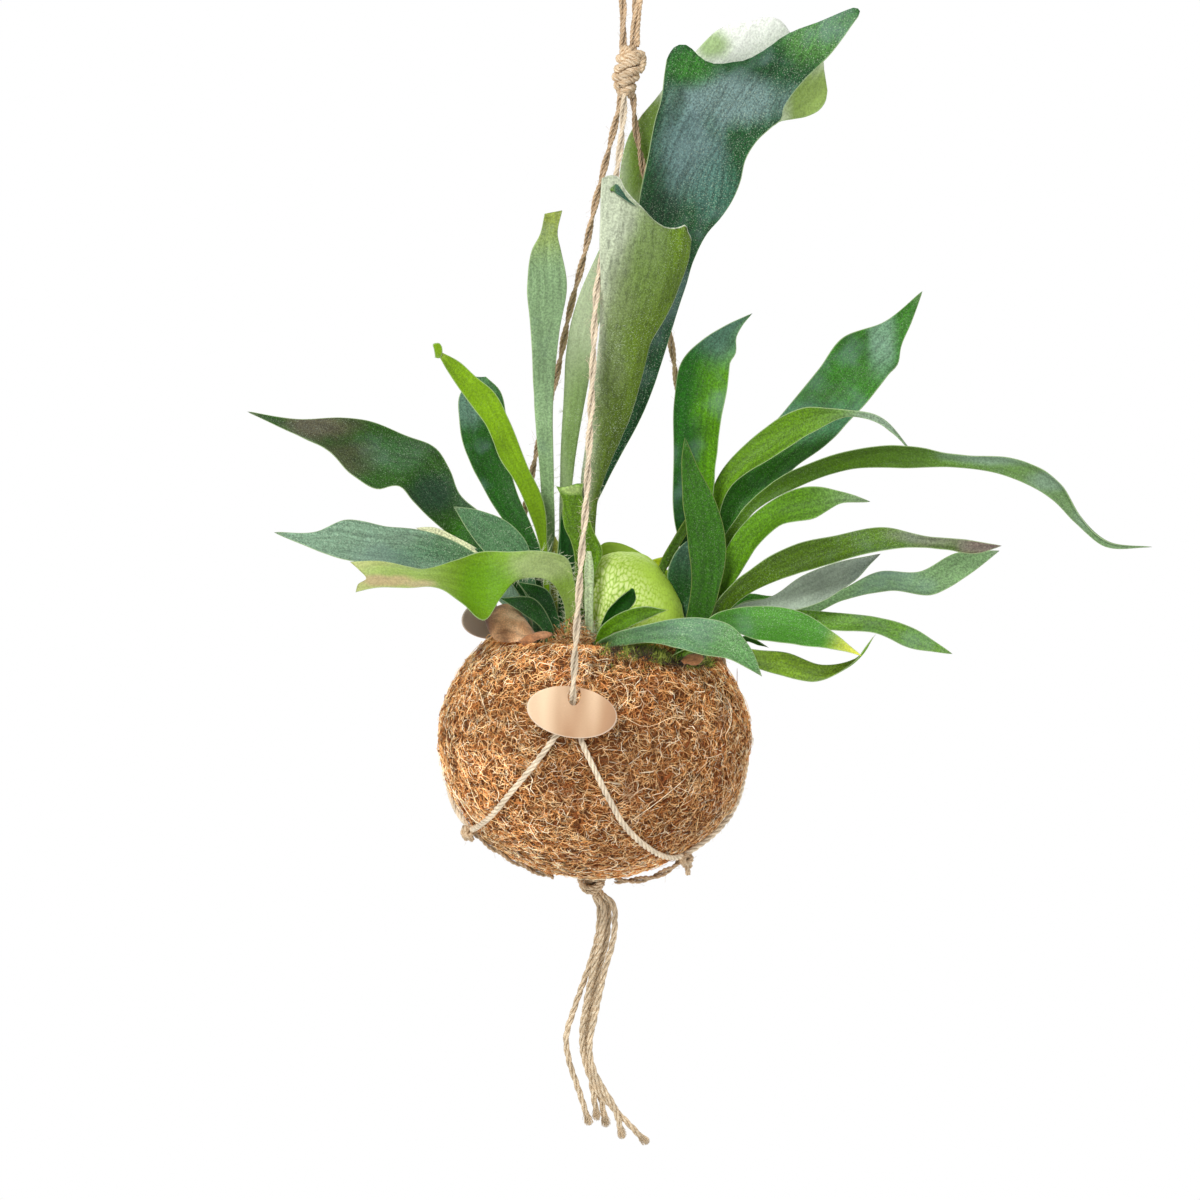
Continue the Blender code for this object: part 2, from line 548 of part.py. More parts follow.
def make_blade(name, spec, parent):
    longest = max(len(spec["left"]), len(spec["right"]))
    rows = max(8, min(16, 2 * longest))
    columns = 7 if "end" in spec else 5
    grid = blade_grid(spec, rows, columns) * MM
    builder = bmesh.new()
    bmesh.ops.create_grid(builder, x_segments=columns - 1, y_segments=rows - 1, size=1)
    for v in builder.verts:
        column = round((v.co.x + 1) / 2 * (columns - 1))
        row = round((v.co.y + 1) / 2 * (rows - 1))
        v.co = grid[row, column]
    bmesh.ops.remove_doubles(builder, verts=builder.verts, dist=0.00001)
    bmesh.ops.triangulate(builder, faces=builder.faces)
    bmesh.ops.recalc_face_normals(builder, faces=builder.faces)
    finish = material(name, spec["colour"], 0.45)
    blade = add_object(name, mesh_from(builder, name), finish, parent)
    modifier(blade, "SOLIDIFY", "thickness", thickness=BLADE_THICKNESS * MM, offset=0)


def outside_knots(points, knots):
    """The points of a finely read route that lie clear of the knots it runs into."""
    for centre, reach in knots:
        points = points[np.linalg.norm(points - np.array(centre), axis=1) > reach]
    return points


def make_cord(name, route, diameter, parent, knots=(), spacing=2.6):
    """A round cord along a route, with a point every so many diameters."""
    fine = outside_knots(smooth_curve(route, 400), knots)
    length = np.linalg.norm(np.diff(fine, axis=0), axis=1).sum()
    points = smooth_curve(fine[::2], max(8, min(80, round(length / (spacing * diameter)))))
    curve = bpy.data.curves.new(name, "CURVE")
    curve.dimensions = "3D"
    curve.bevel_depth = diameter / 2 * MM
    curve.bevel_resolution = 2
    curve.use_fill_caps = True
    spline = curve.splines.new("POLY")
    spline.points.add(len(points) - 1)
    for target, point in zip(spline.points, points):
        target.co = (*(point * MM), 1)
    add_object(name, curve, material("jute", JUTE, 0.85), parent)


def make_knot(name, centre, radii, parent):
    """A round lump with slanting ridges where the cord wraps round it."""
    builder = sphere_grid(12, 8)
    for v in builder.verts:
        turn, share = polar(v.co)
        ridge = 1 + KNOT_RELIEF * math.sin(8 * math.pi * share + 1.0 * turn) * math.sin(math.pi * share)
        v.co = (Vector(centre) + Vector(a * b * ridge for a, b in zip(v.co, radii))) * MM
    add_object(name, mesh_from(builder, name), material("jute", JUTE, 0.85), parent)


def make_tag(name, middle, turn, lean, swing, hole_height, parent):
    """An oval plate with an oval hole near its top. turn faces it round the ball, lean tips it."""
    builder = bmesh.new()
    bmesh.ops.create_cone(builder, cap_ends=True, segments=40, radius1=1, radius2=1, depth=1)
    size = (TAG_WIDTH / 2 * MM, TAG_HEIGHT / 2 * MM, TAG_THICKNESS * MM)
    bmesh.ops.scale(builder, vec=size, verts=builder.verts)
    tag = add_object(name, mesh_from(builder, name), material("tag", TAG_TAN, 0.5), parent)
    upright = Matrix.Rotation(math.radians(turn), 4, "Z") @ Matrix.Rotation(math.radians(90 - lean), 4, "X")
    placed = Matrix.Translation(Vector(middle) * MM) @ upright @ Matrix.Rotation(math.radians(swing), 4, "Z")
    tag.matrix_local = placed
    builder = bmesh.new()
    bmesh.ops.create_cone(builder, cap_ends=True, segments=20, radius1=1, radius2=1, depth=20 * MM)
    bmesh.ops.scale(builder, vec=(3.2 * MM, 5 * MM, 1), verts=builder.verts)
    cutter = bpy.data.objects.new(f"{name}_hole", mesh_from(builder, "tag_hole"))
    cutter.parent = parent
    cutter.matrix_local = placed @ Matrix.Translation((0, hole_height * MM, 0))
    cutter.hide_render = True
    cutter.display_type = "WIRE"
    CUTTERS.objects.link(cutter)
    modifier(tag, "BOOLEAN", "hole", operation="DIFFERENCE", object=cutter)
    tag.data.shade_flat()


def make_hanger(parent):
    make_cord("hang_loop_cord", LOOP_ROUTE, LEG_DIAMETER, parent)
    make_knot("top_knot", TOP_KNOT, (7.6, 7.2, 12.4), parent)
    for name, route in LEG_ROUTES.items():
        spacing = 1.15 if name == "leg_front" else 2.6
        make_cord(name, route, LEG_DIAMETER, parent, spacing=spacing)
    knots = []
    for name, (turn, height) in RING_KNOTS.items():
        centre = tuple(ball_point(math.radians(turn), height, RING_KNOT_RADIUS + 0.7))
        make_knot(name, centre, (RING_KNOT_RADIUS,) * 3, parent)
        knots.append((centre, RING_KNOT_RADIUS * (1 + KNOT_RELIEF) + 1))
    make_knot("bottom_knot", BOTTOM_KNOT, (BOTTOM_KNOT_RADIUS,) * 3, parent)
    knots.append((BOTTOM_KNOT, BOTTOM_KNOT_RADIUS * (1 + KNOT_RELIEF) + 0.3))
    for name, route in STRAND_ROUTES.items():
        make_cord(name, on_ball(route, STRAND_DIAMETER), STRAND_DIAMETER, parent, knots)
    for name, route in UNDER_ROUTES.items():
        make_cord(name, (*on_ball(route, UNDER_DIAMETER), BOTTOM_KNOT), UNDER_DIAMETER, parent, knots)
    for name, route in TASSEL_ROUTES.items():
        make_cord(name, route, TASSEL_DIAMETER, parent, knots[-1:], spacing=3)


def on_ball(route, diameter):
    """A route of directions and heights, as points that let a cord lie on the ball."""
    lift = diameter / 2 + 0.6
    fine = smooth_curve(route, 24)
    return [tuple(ball_point(math.radians(turn), height, lift)) for turn, height in fine]


def make_plant():
    ball_centre = bpy.data.objects.new("ball_centre", None)
    ball_centre.location = Vector(LOOP_INSIDE_TOP) * -MM
    PLANT.objects.link(ball_centre)
    make_shell(ball_centre)
    make_soil(ball_centre)
    make_moss(ball_centre)
    for name, spec in {**FRONDS, **SHIELDS}.items():
        make_blade(name, spec, ball_centre)
    make_hanger(ball_centre)
    make_tag("tag_front", (-12.7, -88.4, 28.1), 0, 9.5, -2.7, 8.6, ball_centre)
    make_tag("tag_back", (-56.1, 56.5, 58), 210, 13, 0, 8.6, ball_centre)


clear_scene()
PLANT = collection("hanging_staghorn_fern")
CUTTERS = collection("cutters")
make_plant()
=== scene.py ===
"""The look of a staghorn fern growing in a ball of coconut fibre, hung in a knotted jute hanger.

Shapes are worked out in millimetres from the middle of the ball: x to the right, y away from the
viewer, z up. make_piece turns them into metres from the inside top of the hanger's loop.
"""
import json
import math

import bpy
import numpy as np
from mathutils import Matrix, Vector


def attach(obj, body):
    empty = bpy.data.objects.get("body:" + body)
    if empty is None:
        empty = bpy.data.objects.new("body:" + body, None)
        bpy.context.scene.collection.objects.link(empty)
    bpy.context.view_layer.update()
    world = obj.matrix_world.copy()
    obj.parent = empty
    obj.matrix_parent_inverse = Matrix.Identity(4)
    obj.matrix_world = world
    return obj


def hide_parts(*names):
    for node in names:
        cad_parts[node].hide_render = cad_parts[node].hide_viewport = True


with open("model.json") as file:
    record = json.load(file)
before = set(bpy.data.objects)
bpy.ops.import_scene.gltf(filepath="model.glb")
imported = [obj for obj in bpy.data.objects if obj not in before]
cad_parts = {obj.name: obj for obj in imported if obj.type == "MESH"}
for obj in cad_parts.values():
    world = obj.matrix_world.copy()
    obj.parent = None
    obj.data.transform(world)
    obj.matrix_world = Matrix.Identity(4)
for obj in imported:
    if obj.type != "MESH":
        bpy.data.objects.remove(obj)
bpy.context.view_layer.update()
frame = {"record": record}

MM = 0.001
LOOP_INSIDE_TOP = np.array([3.0, 0.0, 442.0])
FULL_TURN = 2 * math.pi
UP = np.array([0, 0, 1.0])

# The ball, the same as in the solids
BALL_RADIUS = 85
BALL_HALF_HEIGHT = 75
BALL_WALL = 8
BALL_LUMP = 1.1
RIM_HEIGHT = 50
RIM_SLOPE = 4.4
FRONT_LIP = 9
SOIL_TOP = 40
SOIL_SLOPE = 0.07
MOSS_RADIUS = 53
MOSS_EDGE = 2.6
MOSS_RISE = 15

# Blades
BASE_WIDTH = 6.4
LEAF_THICKNESS = 1.1
PLAIN_COLUMNS = 17
SHAPED_END_COLUMNS = 33
SMALL_COLUMNS = 11
NET_COLUMNS = 131

# How many of each small thing there are. The loose fibres are laid in layers.
FIBRE_LAYERS = 5
FIBRES_PER_LAYER = 8350
RIM_FIBRES = 4200
STRAY_FIBRES = 44
HUSK_FLAKES = 330
MOSS_SPRIGS = 8200
EDGE_SPRIGS = 2600
DEAD_ROOTS = 900
END_FIBRES = 130

# How each kind of cord is laid: strands wind round its route once in strand_pitch, and the plies
# of a strand of this width once in ply_pitch
LOOP_LAY = dict(width=2.3, plies=3, ply_pitch=8, strands=2, strand_pitch=46)
SECOND_LOOP_LAY = dict(width=3.2, plies=3, ply_pitch=9)
LEG_LAY = dict(width=2.2, plies=3, ply_pitch=9, strands=2, strand_pitch=40)
NET_LAY = dict(width=3.3, plies=3, ply_pitch=13)
UNDER_LAY = dict(width=2.3, plies=2, ply_pitch=7, strands=2, strand_pitch=30)
TOP_KNOT_LAY = dict(width=4.9, plies=3, ply_pitch=7.5, step=0.8)
SMALL_KNOT_LAY = dict(width=3.0, plies=3, ply_pitch=7.5, step=0.8)
END_WIDTH = 3.5
PLY_SIDES = 7
FRAYED_LENGTH = 3.5
FRAYED_REACH = 3.0

# The knots, and the wraps of each kind as (height, radius, tilt, heading)
TOP_KNOT = (3.3, 0, 365)
BOTTOM_KNOT = (3, 1.5, -81.2)
RING_KNOT_RADIUS = 4.8
BOTTOM_KNOT_REACH = 5.97
TOP_WRAPS = (
    (-9.2, 3.5, -0.4, 0.3), (-5.2, 5.2, -0.5, 0.0), (-0.8, 5.9, -0.44, 0.2),
    (3.6, 5.7, -0.5, -0.15), (7.9, 4.4, -0.42, 0.3),
)
RING_WRAPS = ((-1.6, 2.7, 0.5, 0.3), (1.2, 2.9, -0.6, 1.4), (0.0, 2.6, 1.4, 2.5))
BOTTOM_WRAPS = (
    (-2.2, 3.6, 0.35, 0.3), (0.4, 4.9, -0.3, 1.4), (2.8, 5.0, 0.2, 2.5), (4.8, 4.0, -0.2, 0.6),
    (0.6, 3.2, 1.3, 0.6),
)
# The strands that run through the top knot or over the bottom one, from the knot's middle
TOP_RUNS = (
    ((-2.4, 0.5, -14), (-2, 0, -5), (-2, 1, 5), (-2.4, 0.5, 14)),
    ((2.6, 1, -14), (2, 1, 0), (2.4, 0.6, 14)),
    ((0.4, -2, -13), (0.6, -1.4, 0), (0.2, -1.8, 13.5)),
    ((2, -3, 6), (5.2, -3.2, 9.5), (7.4, -1.4, 9.2), (7.8, -0.6, 5), (6.4, -1, 0)),
)
BOTTOM_RUNS = (
    ((-7.4, -5, 6.5), (-8, -6.8, 3.4), (-5, -7.6, 0), (0, -7.4, 0), (3.4, -6, 3.4)),
    ((-6.4, -3, 5.5), (-7.2, -5.2, 0.8), (-3.6, -6.2, -3), (1, -6, -2.2), (4, -4.6, 2)),
)
# Where the short cut end of each knot points, from the knot's middle
KNOT_ENDS = {
    "ring_knot_left": (-2.5, -3, 4.5),
    "ring_knot_right": (1.5, -2, -7.5),
    "ring_knot_back": (-2.5, -3, 4.5),
    "bottom_knot": (-5.5, -4, -2.5),
}

# The oval plates, with an oval hole near the top
TAG_SIZE = (48, 27)
TAG_HOLE_SIZE = (6.4, 10)
TAG_HOLE_HEIGHT = 8.6
TAG_STEPS = 96

# The floor, the lights and the camera are placed in metres. The floor fades into the white behind
# it between these two distances from the middle.
FLOOR_HALF_SIZE = 1.7
FLOOR_LEVEL = -1.3
FLOOR_FADE = (1.45, 2.0)
LIGHT_AIM = (0, 0, -0.35)
SKY_LIGHT = 0.6

# The camera stands a little above the plant and is turned a little, as in the photo
CAMERA_TARGET = (-0.003, 0.0107, -0.3657)
CAMERA_DISTANCE = 2.2
CAMERA_ELEVATION = math.radians(8)
CAMERA_ROLL = math.radians(2.27)
CAMERA_VIEW_WIDTH = 0.66
SENSOR_WIDTH = 36


FRONDS, SHIELDS, SMALL_LEAVES, DRY_SCRAPS = {}, {}, {}, {}


def leaf(table, name, look=None, **shape):
    """Writes a leaf into a table. frond_grid reads its shape, and leaf_finish its look."""
    table[name] = dict(shape, look=look)


# Each frond stands on the soil at its base and runs between the points of its two edges to its tip.
# Where it has no tip, it is cut straight across or follows the points of its end from left to
# right. Its look gives the colours of the side towards the viewer, of the other side and of the
# tip, and what leaf_finish adds to them.
leaf(FRONDS, "frond_tall_dark", base=(-8, 3), cup=3, ripple=1,
    left=((-12, 2, 104), (-11, 0, 124), (-6, -1, 144), (10, -5, 175), (15, -8, 219), (14, -9, 265),
        (12.2, -9.9, 295.5), (13.8, -10.3, 307.2), (15.9, -10.8, 318.8), (17.7, -11.2, 330.5),
        (19.6, -11.5, 340.2), (21.6, -11.7, 348), (22.9, -11.9, 355.7), (23.5, -12, 363.4),
        (24.5, -12, 372.1)),
    right=((-7, 2, 104), (-6.2, 0, 124), (2, -2, 145), (20, -3, 183), (31.8, -0.7, 222.6),
        (35.7, 0.1, 237.4), (40, 1, 252.2), (43.4, 1.7, 265), (49.7, 3.8, 278.8),
        (57.2, 5.6, 288.2), (63.7, 7.8, 299.1), (66.8, 9, 307.6), (69.6, 10.7, 320.9),
        (75.1, 11.9, 330.3), (82.7, 13.3, 337.9), (88, 14.1, 342.8), (88.6, 15.1, 347.9),
        (91.9, 16.2, 354.2), (100.3, 18.5, 365.2), (106, 19.8, 371.2), (112.6, 21.3, 378.3),
        (119.1, 23, 387.3), (123.7, 24.3, 394.3), (127.1, 25.3, 399.3)),
    end=((26.3, -11.8, 376), (29.2, -11.5, 379.4), (32.9, -11.1, 380.5), (36.4, -9.9, 379.7),
        (39.4, -8.9, 377.1), (43.5, -7.5, 373.4), (48.5, -5.7, 371.1), (54.4, -3.5, 370.7),
        (60.2, -0.5, 371.9), (66.1, 2.5, 372.7), (72.9, 6, 375.8), (80.6, 9.2, 381),
        (88.2, 12.4, 387.1), (96, 15.3, 391.2), (105.8, 18.6, 395.1), (115.5, 21.9, 399.8),
        (121.4, 23.8, 402.6), (125.7, 25.3, 403.9), (127.9, 26, 402.8)),
    look=dict(
        front=(26, 74, 42), back=(112, 150, 60), tip=(34, 84, 40), bloom=0.4, down=0.45, mottle=0.4,
        marks=(((60, 5, 352), (34, 60, 15), (126, 152, 152), 0.66),
            ((40, 0, 322), (19, 50, 28), (110, 138, 140), 0.6),
            ((54, 0, 304), (16, 50, 18), (70, 112, 100), 0.6),
            ((38, -6, 369), (15, 40, 11), (52, 116, 30), 0.7),
            ((112, 24, 388), (30, 50, 18), (88, 142, 62), 0.7),
            ((26, -9, 292), (12, 40, 10), (14, 50, 28), 0.6))))
leaf(FRONDS, "frond_pale_funnel", base=(-8, -11), cup=-9,
    left=((-10, -13, 101), (-12, -17, 132), (-12.6, -19.2, 147), (-11.2, -21.3, 162),
        (-10, -22.8, 173), (-8, -24.8, 189.6), (-6.7, -26.9, 211.3), (-5.9, -28.1, 232.9),
        (-6.1, -30.7, 252.3), (-7.4, -32.9, 270.5), (-7.7, -30.9, 286.3), (-8, -26.7, 299.4),
        (-7.8, -24, 308.3)),
    right=((-4, -13, 104), (-3.4, -16.4, 134.6), (-0.5, -17.6, 145.8), (3.5, -19.1, 157),
        (10.3, -21.5, 174.9), (15.1, -23, 190.3), (18.7, -22.5, 207.7), (22.4, -22, 222.8),
        (28.4, -21.1, 233.8), (33.3, -20, 244.6), (36.7, -19.1, 253.8), (39.5, -18.2, 263),
        (40.8, -17.2, 270.5), (41, -16.7, 274.2)),
    end=((-4.2, -23.1, 309.6), (0, -22, 308.2), (2.4, -21.7, 302.2), (6.5, -21, 296.6),
        (11.5, -20.2, 291.8), (17.6, -19.4, 285.8), (24.6, -18.6, 282.2), (31.7, -17.7, 282.5),
        (37, -17, 284.3), (38.2, -16.7, 281.3), (40.8, -16, 277.4)),
    look=dict(
        front=(178, 188, 158), right=(90, 118, 34), split=0.45, back=(38, 84, 52),
        tip=(224, 230, 210), down=0.45, tip_start=0.996, stem=(80, 104, 24), stem_end=0.68,
        rim=(214, 222, 196), mottle=0.22, flecks=0.3,
        marks=(((-4, -30, 290), (9, 60, 26), (188, 197, 170), 0.7),
            ((-7, -30, 240), (5, 60, 50), (188, 196, 168), 0.6),
            ((12, -24, 238), (15, 60, 46), (88, 112, 26), 0.75),
            ((2, -20, 180), (11, 60, 54), (74, 96, 12), 0.9),
            ((19, -22, 270), (13, 60, 32), (98, 126, 48), 0.6))))
leaf(FRONDS, "frond_back_pale", base=(-20, 14), cup=-4, ripple=1,
    left=((-24, 14, 119), (-24.5, 14, 160), (-24, 14, 190), (-23.8, 14, 208.4), (-21.9, 14, 226.3),
        (-16.7, 14, 246.2), (-10.4, 13.9, 262.2), (-2.4, 12.4, 282.2), (0.9, 12, 298),
        (2.7, 12, 317.6), (5.9, 12.6, 330.4), (11.6, 13.1, 340.4), (19.4, 13.6, 350.4),
        (28.7, 14.5, 363.4), (41.2, 16, 378)),
    right=((-19, 14, 119), (-16, 14, 160), (-11, 14, 197), (-6, 16, 230), (6, 17, 262),
        (30, 21, 290), (52, 26, 310), (68.1, 29, 323.7), (79.5, 31.6, 335.8), (88.2, 33.5, 341.4),
        (95.1, 34, 343.1), (103, 34.6, 344.9), (108.8, 35.7, 348.1), (112, 36.6, 352.7),
        (112.9, 37.5, 358.6)),
    end=((45.5, 17.4, 383.5), (50.2, 18.9, 388.5), (57, 21, 392.1), (64.8, 23.5, 393.5),
        (70.7, 25.4, 395.1), (74.6, 26.8, 396.7), (80.6, 29, 396.9), (85.7, 30.9, 394.8),
        (88.9, 32, 390), (97.2, 34.1, 383.9), (105.4, 36.2, 378.9), (109.2, 37.2, 375.2),
        (110, 37.4, 370.3), (111.2, 37.6, 365.4)),
    look=dict(
        front=(158, 180, 128), back=(52, 96, 60), tip=(244, 248, 238), down=0.4, tip_start=0.6,
        rim=(150, 180, 110), mottle=0.14, flecks=0.12,
        marks=(((-10, 4, 240), (17, 60, 66), (194, 208, 170), 0.8),
            ((-14, 4, 170), (12, 60, 50), (104, 138, 54), 0.7),
            ((-5, 4, 258), (3.0, 60, 34), (104, 138, 60), 0.7),
            ((49, 32, 381), (11, 60, 9), (150, 184, 104), 0.85),
            ((140, 38, 386), (12, 60, 8), (204, 222, 176), 0.7),
            ((107, 36, 351), (28, 60, 25), (140, 170, 70), 0.95),
            ((14, 13, 330), (16, 60, 44), (104, 138, 16), 0.92))))
leaf(FRONDS, "frond_narrow_upright", base=(-26, 6), cup=1.5,
    left=((-31, 6, 103), (-35, 5, 142), (-40, 3, 186), (-43, 1, 224), (-46, -1, 249), (-44, 0, 267),
        (-40, 2, 276), (-38, 3, 287)),
    right=((-26, 6, 104), (-28, 5, 142), (-30, 5, 186), (-28, 5, 224), (-25, 5, 250), (-29, 4, 268),
        (-31, 4, 276), (-29, 5, 289)),
    look=dict(
        front=(142, 174, 126), back=(84, 132, 46), tip=(146, 162, 66), bloom=0.3, down=0.4,
        tip_start=0.86, stem=(112, 150, 62), stem_end=0.62, mottle=0.26))
leaf(FRONDS, "frond_vivid", base=(-28, -4), tip=(-93, -25, 213), cup=2,
    left=((-34, -5, 107), (-46, -9, 137), (-58, -13, 157), (-65, -15, 172), (-72, -18, 182),
        (-81, -21, 194), (-88, -23, 204)),
    right=((-30, -5, 108), (-32, -6, 128), (-43, -8, 152), (-53, -11, 175), (-62, -14, 191),
        (-72, -17, 199), (-81, -21, 207)),
    look=dict(
        front=(116, 156, 16), back=(130, 166, 50), tip=(160, 186, 70), down=0.06,
        stem=(112, 150, 50), mottle=0.18))
leaf(FRONDS, "frond_dark_round", base=(-31, 10), cup=2.5,
    left=((-39, 10, 100), (-53, 11, 116), (-66, 13, 135), (-77, 15, 156), (-81, 19, 172),
        (-81, 24, 186), (-73, 30, 195)),
    right=((-33, 10, 100), (-40, 13, 117), (-48, 17, 133), (-54, 23, 153), (-56, 27, 175),
        (-60, 30, 188), (-68, 32, 195)),
    look=dict(
        front=(34, 88, 34), back=(100, 140, 70), tip=(70, 116, 60), bloom=0.6, down=0.15,
        marks=(((-76, 24, 181), (14, 40, 14), (118, 150, 140), 0.6),)))
leaf(FRONDS, "frond_far_left", base=(-27, 19), tip=(-198, 26, 171), cup=3, ripple=3,
    left=((-45, 20, 83), (-71, 21, 99), (-90, 19, 113), (-105, 15, 127), (-112, 14, 134),
        (-124, 11, 132), (-139, 12, 139), (-152, 15, 152), (-168, 20, 159)),
    right=((-39, 20, 91), (-63, 23, 117), (-80, 25, 130), (-86, 27, 143), (-93, 28, 154),
        (-111, 29, 162), (-131, 28, 169), (-146, 25, 170), (-169, 24, 168)),
    look=dict(
        front=(38, 78, 26), back=(90, 120, 60), tip=(84, 100, 66), bloom=0.15, down=0.25,
        stem=(36, 78, 26),
        marks=(((-158, 22, 165), (24, 60, 9), (80, 70, 56), 0.8),
            ((-142, 15, 149), (22, 60, 10), (78, 72, 54), 0.6),
            ((-116, 20, 150), (20, 60, 10), (58, 98, 60), 0.5),
            ((-79, 10, 104), (9, 60, 13), (56, 122, 12), 0.6),
            ((-94, 15, 130), (15, 60, 13), (32, 58, 50), 0.6),
            ((-65, 10, 111), (8, 60, 13), (38, 66, 40), 0.5),
            ((-73, 10, 126), (10, 60, 10), (74, 102, 76), 0.5))))
leaf(FRONDS, "frond_left_low", base=(-33, 1), tip=(-178, -16, 110), cup=2.5, ripple=1.5,
    left=((-55, 0, 75), (-80, -4, 87), (-97, -11, 92), (-117, -15, 95), (-136, -18, 96),
        (-153, -16, 101)),
    right=((-50, 0, 86), (-70, 0, 101), (-98, 3, 112), (-117, 1, 114), (-140, -2, 117),
        (-156, -8, 110)),
    look=dict(
        front=(118, 148, 122), back=(120, 150, 90), tip=(112, 136, 104), bloom=0.2, down=0.45,
        stem=(44, 92, 50),
        marks=(((-80, 0, 104), (24, 60, 10), (60, 104, 54), 0.8),
            ((-99, 0, 99), (20, 60, 7), (74, 116, 84), 0.5))))
leaf(FRONDS, "frond_short_left", base=(-30, -9), tip=(-81, -25, 129), cup=2,
    left=((-42, -10, 83), (-53, -15, 95), (-65, -19, 106), (-72, -22, 115)),
    right=((-36, -10, 89), (-42, -9, 110), (-52, -11, 120), (-66, -16, 126)),
    look=dict(
        front=(82, 124, 84), back=(120, 150, 90), tip=(130, 150, 110), bloom=0.25, down=0.4,
        stem=(34, 86, 40)))
leaf(FRONDS, "frond_arching", base=(-15, -20), cup=3, ripple=1.5,
    left=((-21, -26, 82), (-28, -34, 92), (-43, -43, 93), (-53, -53, 84), (-62, -62, 73),
        (-73, -64, 81), (-85, -65, 89), (-103, -71, 90), (-119, -74, 90), (-129, -77, 88)),
    right=((-14, -26, 89), (-20, -32, 105), (-33, -37, 108), (-49, -39, 107), (-64, -40, 107),
        (-78, -48, 103), (-94, -57, 99), (-111, -61, 102), (-122, -66, 103), (-133, -67, 102)),
    end=((-128, -74, 92), (-124, -72, 95), (-128, -70, 99)),
    look=dict(
        front=(110, 152, 18), back=(150, 170, 90), tip=(172, 180, 112), down=0.15, mottle=0.14,
        stem=(150, 160, 104), stem_end=0.48, tip_start=0.62,
        marks=(((-33, -40, 101), (22, 60, 12), (160, 176, 118), 0.8),
            ((-60, -55, 90), (17, 60, 15), (98, 150, 8), 0.6),
            ((-107, -60, 98), (24, 60, 4), (142, 172, 84), 0.6),
            ((-119, -60, 93.5), (9, 60, 3), (180, 160, 118), 0.9),
            ((-108, -60, 93.6), (10, 60, 2.8), (180, 162, 118), 0.9),
            ((-95, -60, 91.6), (9, 60, 2.6), (180, 166, 122), 0.9))))
leaf(FRONDS, "frond_curled_young", base=(-19, -15), cup=2.5,
    left=((-15, -17, 84), (-14, -18, 98), (-14.8, -18.5, 106), (-17, -19, 112.6), (-20.4, -20, 119),
        (-21.8, -21, 126), (-22.1, -22, 134), (-24.2, -22.6, 139), (-25.9, -23, 142)),
    right=((-6, -17, 84), (-2.6, -18, 97), (-0.2, -18, 103), (0.5, -18.5, 106.5),
        (-0.2, -19, 109.6), (-2.6, -19.5, 113.6), (-5, -20, 118), (-7.4, -20.5, 125),
        (-10.7, -21, 132), (-12.2, -22, 139), (-11.7, -23, 144)),
    end=((-22, -24.5, 141.2), (-18, -25.2, 142.2), (-14.5, -24.5, 143.6)),
    look=dict(
        front=(84, 122, 22), back=(100, 140, 40), tip=(96, 140, 28), down=0.2, stem=(46, 92, 18),
        stem_end=0.6, rim=(150, 172, 96),
        marks=(((-18, -24, 140.5), (8, 60, 3), (166, 190, 112), 0.8),)))
leaf(FRONDS, "frond_bud", base=(-5, -25), cup=1.5,
    left=((-8, -26, 81), (-9, -27, 95), (-8, -28, 108)),
    right=((-4, -26, 81), (-4, -27, 95), (-6, -28, 108)),
    look=dict(front=(164, 180, 136), back=(150, 170, 110), tip=(190, 200, 160), down=0.7))
leaf(FRONDS, "frond_small_dark", base=(2, -29), cup=2,
    left=((1.5, -34, 70.7), (4.5, -35, 78), (8.6, -37, 82.8), (12.8, -39, 86.8), (15.9, -40, 89.5)),
    right=((10.2, -34, 71), (14.3, -35, 76.8), (17.3, -36, 80.3), (19.3, -38, 84.7),
        (18.6, -39, 88.4)),
    end=((16.9, -40, 90.1), (17.9, -39.6, 89.8)),
    look=dict(front=(26, 80, 18), back=(60, 110, 24), tip=(34, 84, 26), down=0.05))
leaf(FRONDS, "frond_small_bright", base=(0, -33.5), tip=(37, -50, 81), cup=1.5,
    left=((1, -37, 68), (10, -40, 76), (22, -44, 81)),
    right=((6, -37, 64), (15, -42, 69), (25, -46, 75)),
    look=dict(
        front=(92, 138, 30), back=(110, 150, 50), tip=(170, 186, 90), stem=(24, 84, 24),
        stem_end=0.4))
leaf(FRONDS, "frond_front_right", base=(0, -38), tip=(87, -82, 52), neck=((1.5, -40, 58),), cup=3,
    ripple=1,
    left=((7, -48, 66), (21, -56, 72), (38, -60, 77), (55, -64, 79), (69, -68, 77), (80, -74, 67)),
    right=((10, -48, 60), (25, -58, 64), (41, -70, 64), (57, -78, 61), (69, -82, 60),
        (79, -82, 56)),
    look=dict(
        front=(92, 138, 86), back=(120, 150, 90), tip=(120, 138, 100), bloom=0.25, down=0.55,
        stem=(60, 110, 56)))
leaf(FRONDS, "frond_upright_right", base=(46, 2), tip=(76, -5, 238), cup=3, ripple=1.5,
    left=((46, 2, 96), (39, 3, 123), (37, 4, 159), (36, 4, 189), (40, 3, 211), (50, 1, 222),
        (63, -2, 231)),
    right=((56, 2, 102), (58.4, 1, 127), (60.6, -2, 162), (62.6, -4, 185), (64.2, -4.5, 197),
        (64.6, -5, 206), (65.1, -5, 211.6), (67.5, -5, 215.6), (67.9, -5, 225.5), (71, -5, 231.6)),
    look=dict(
        front=(26, 86, 14), right=(86, 144, 8), split=0.56, back=(90, 140, 40), tip=(50, 96, 40),
        bloom=0.3, down=0.12, stem=(24, 80, 22), stem_end=0.34,
        marks=(((62, 0, 226), (20, 40, 16), (74, 108, 92), 0.75),)))
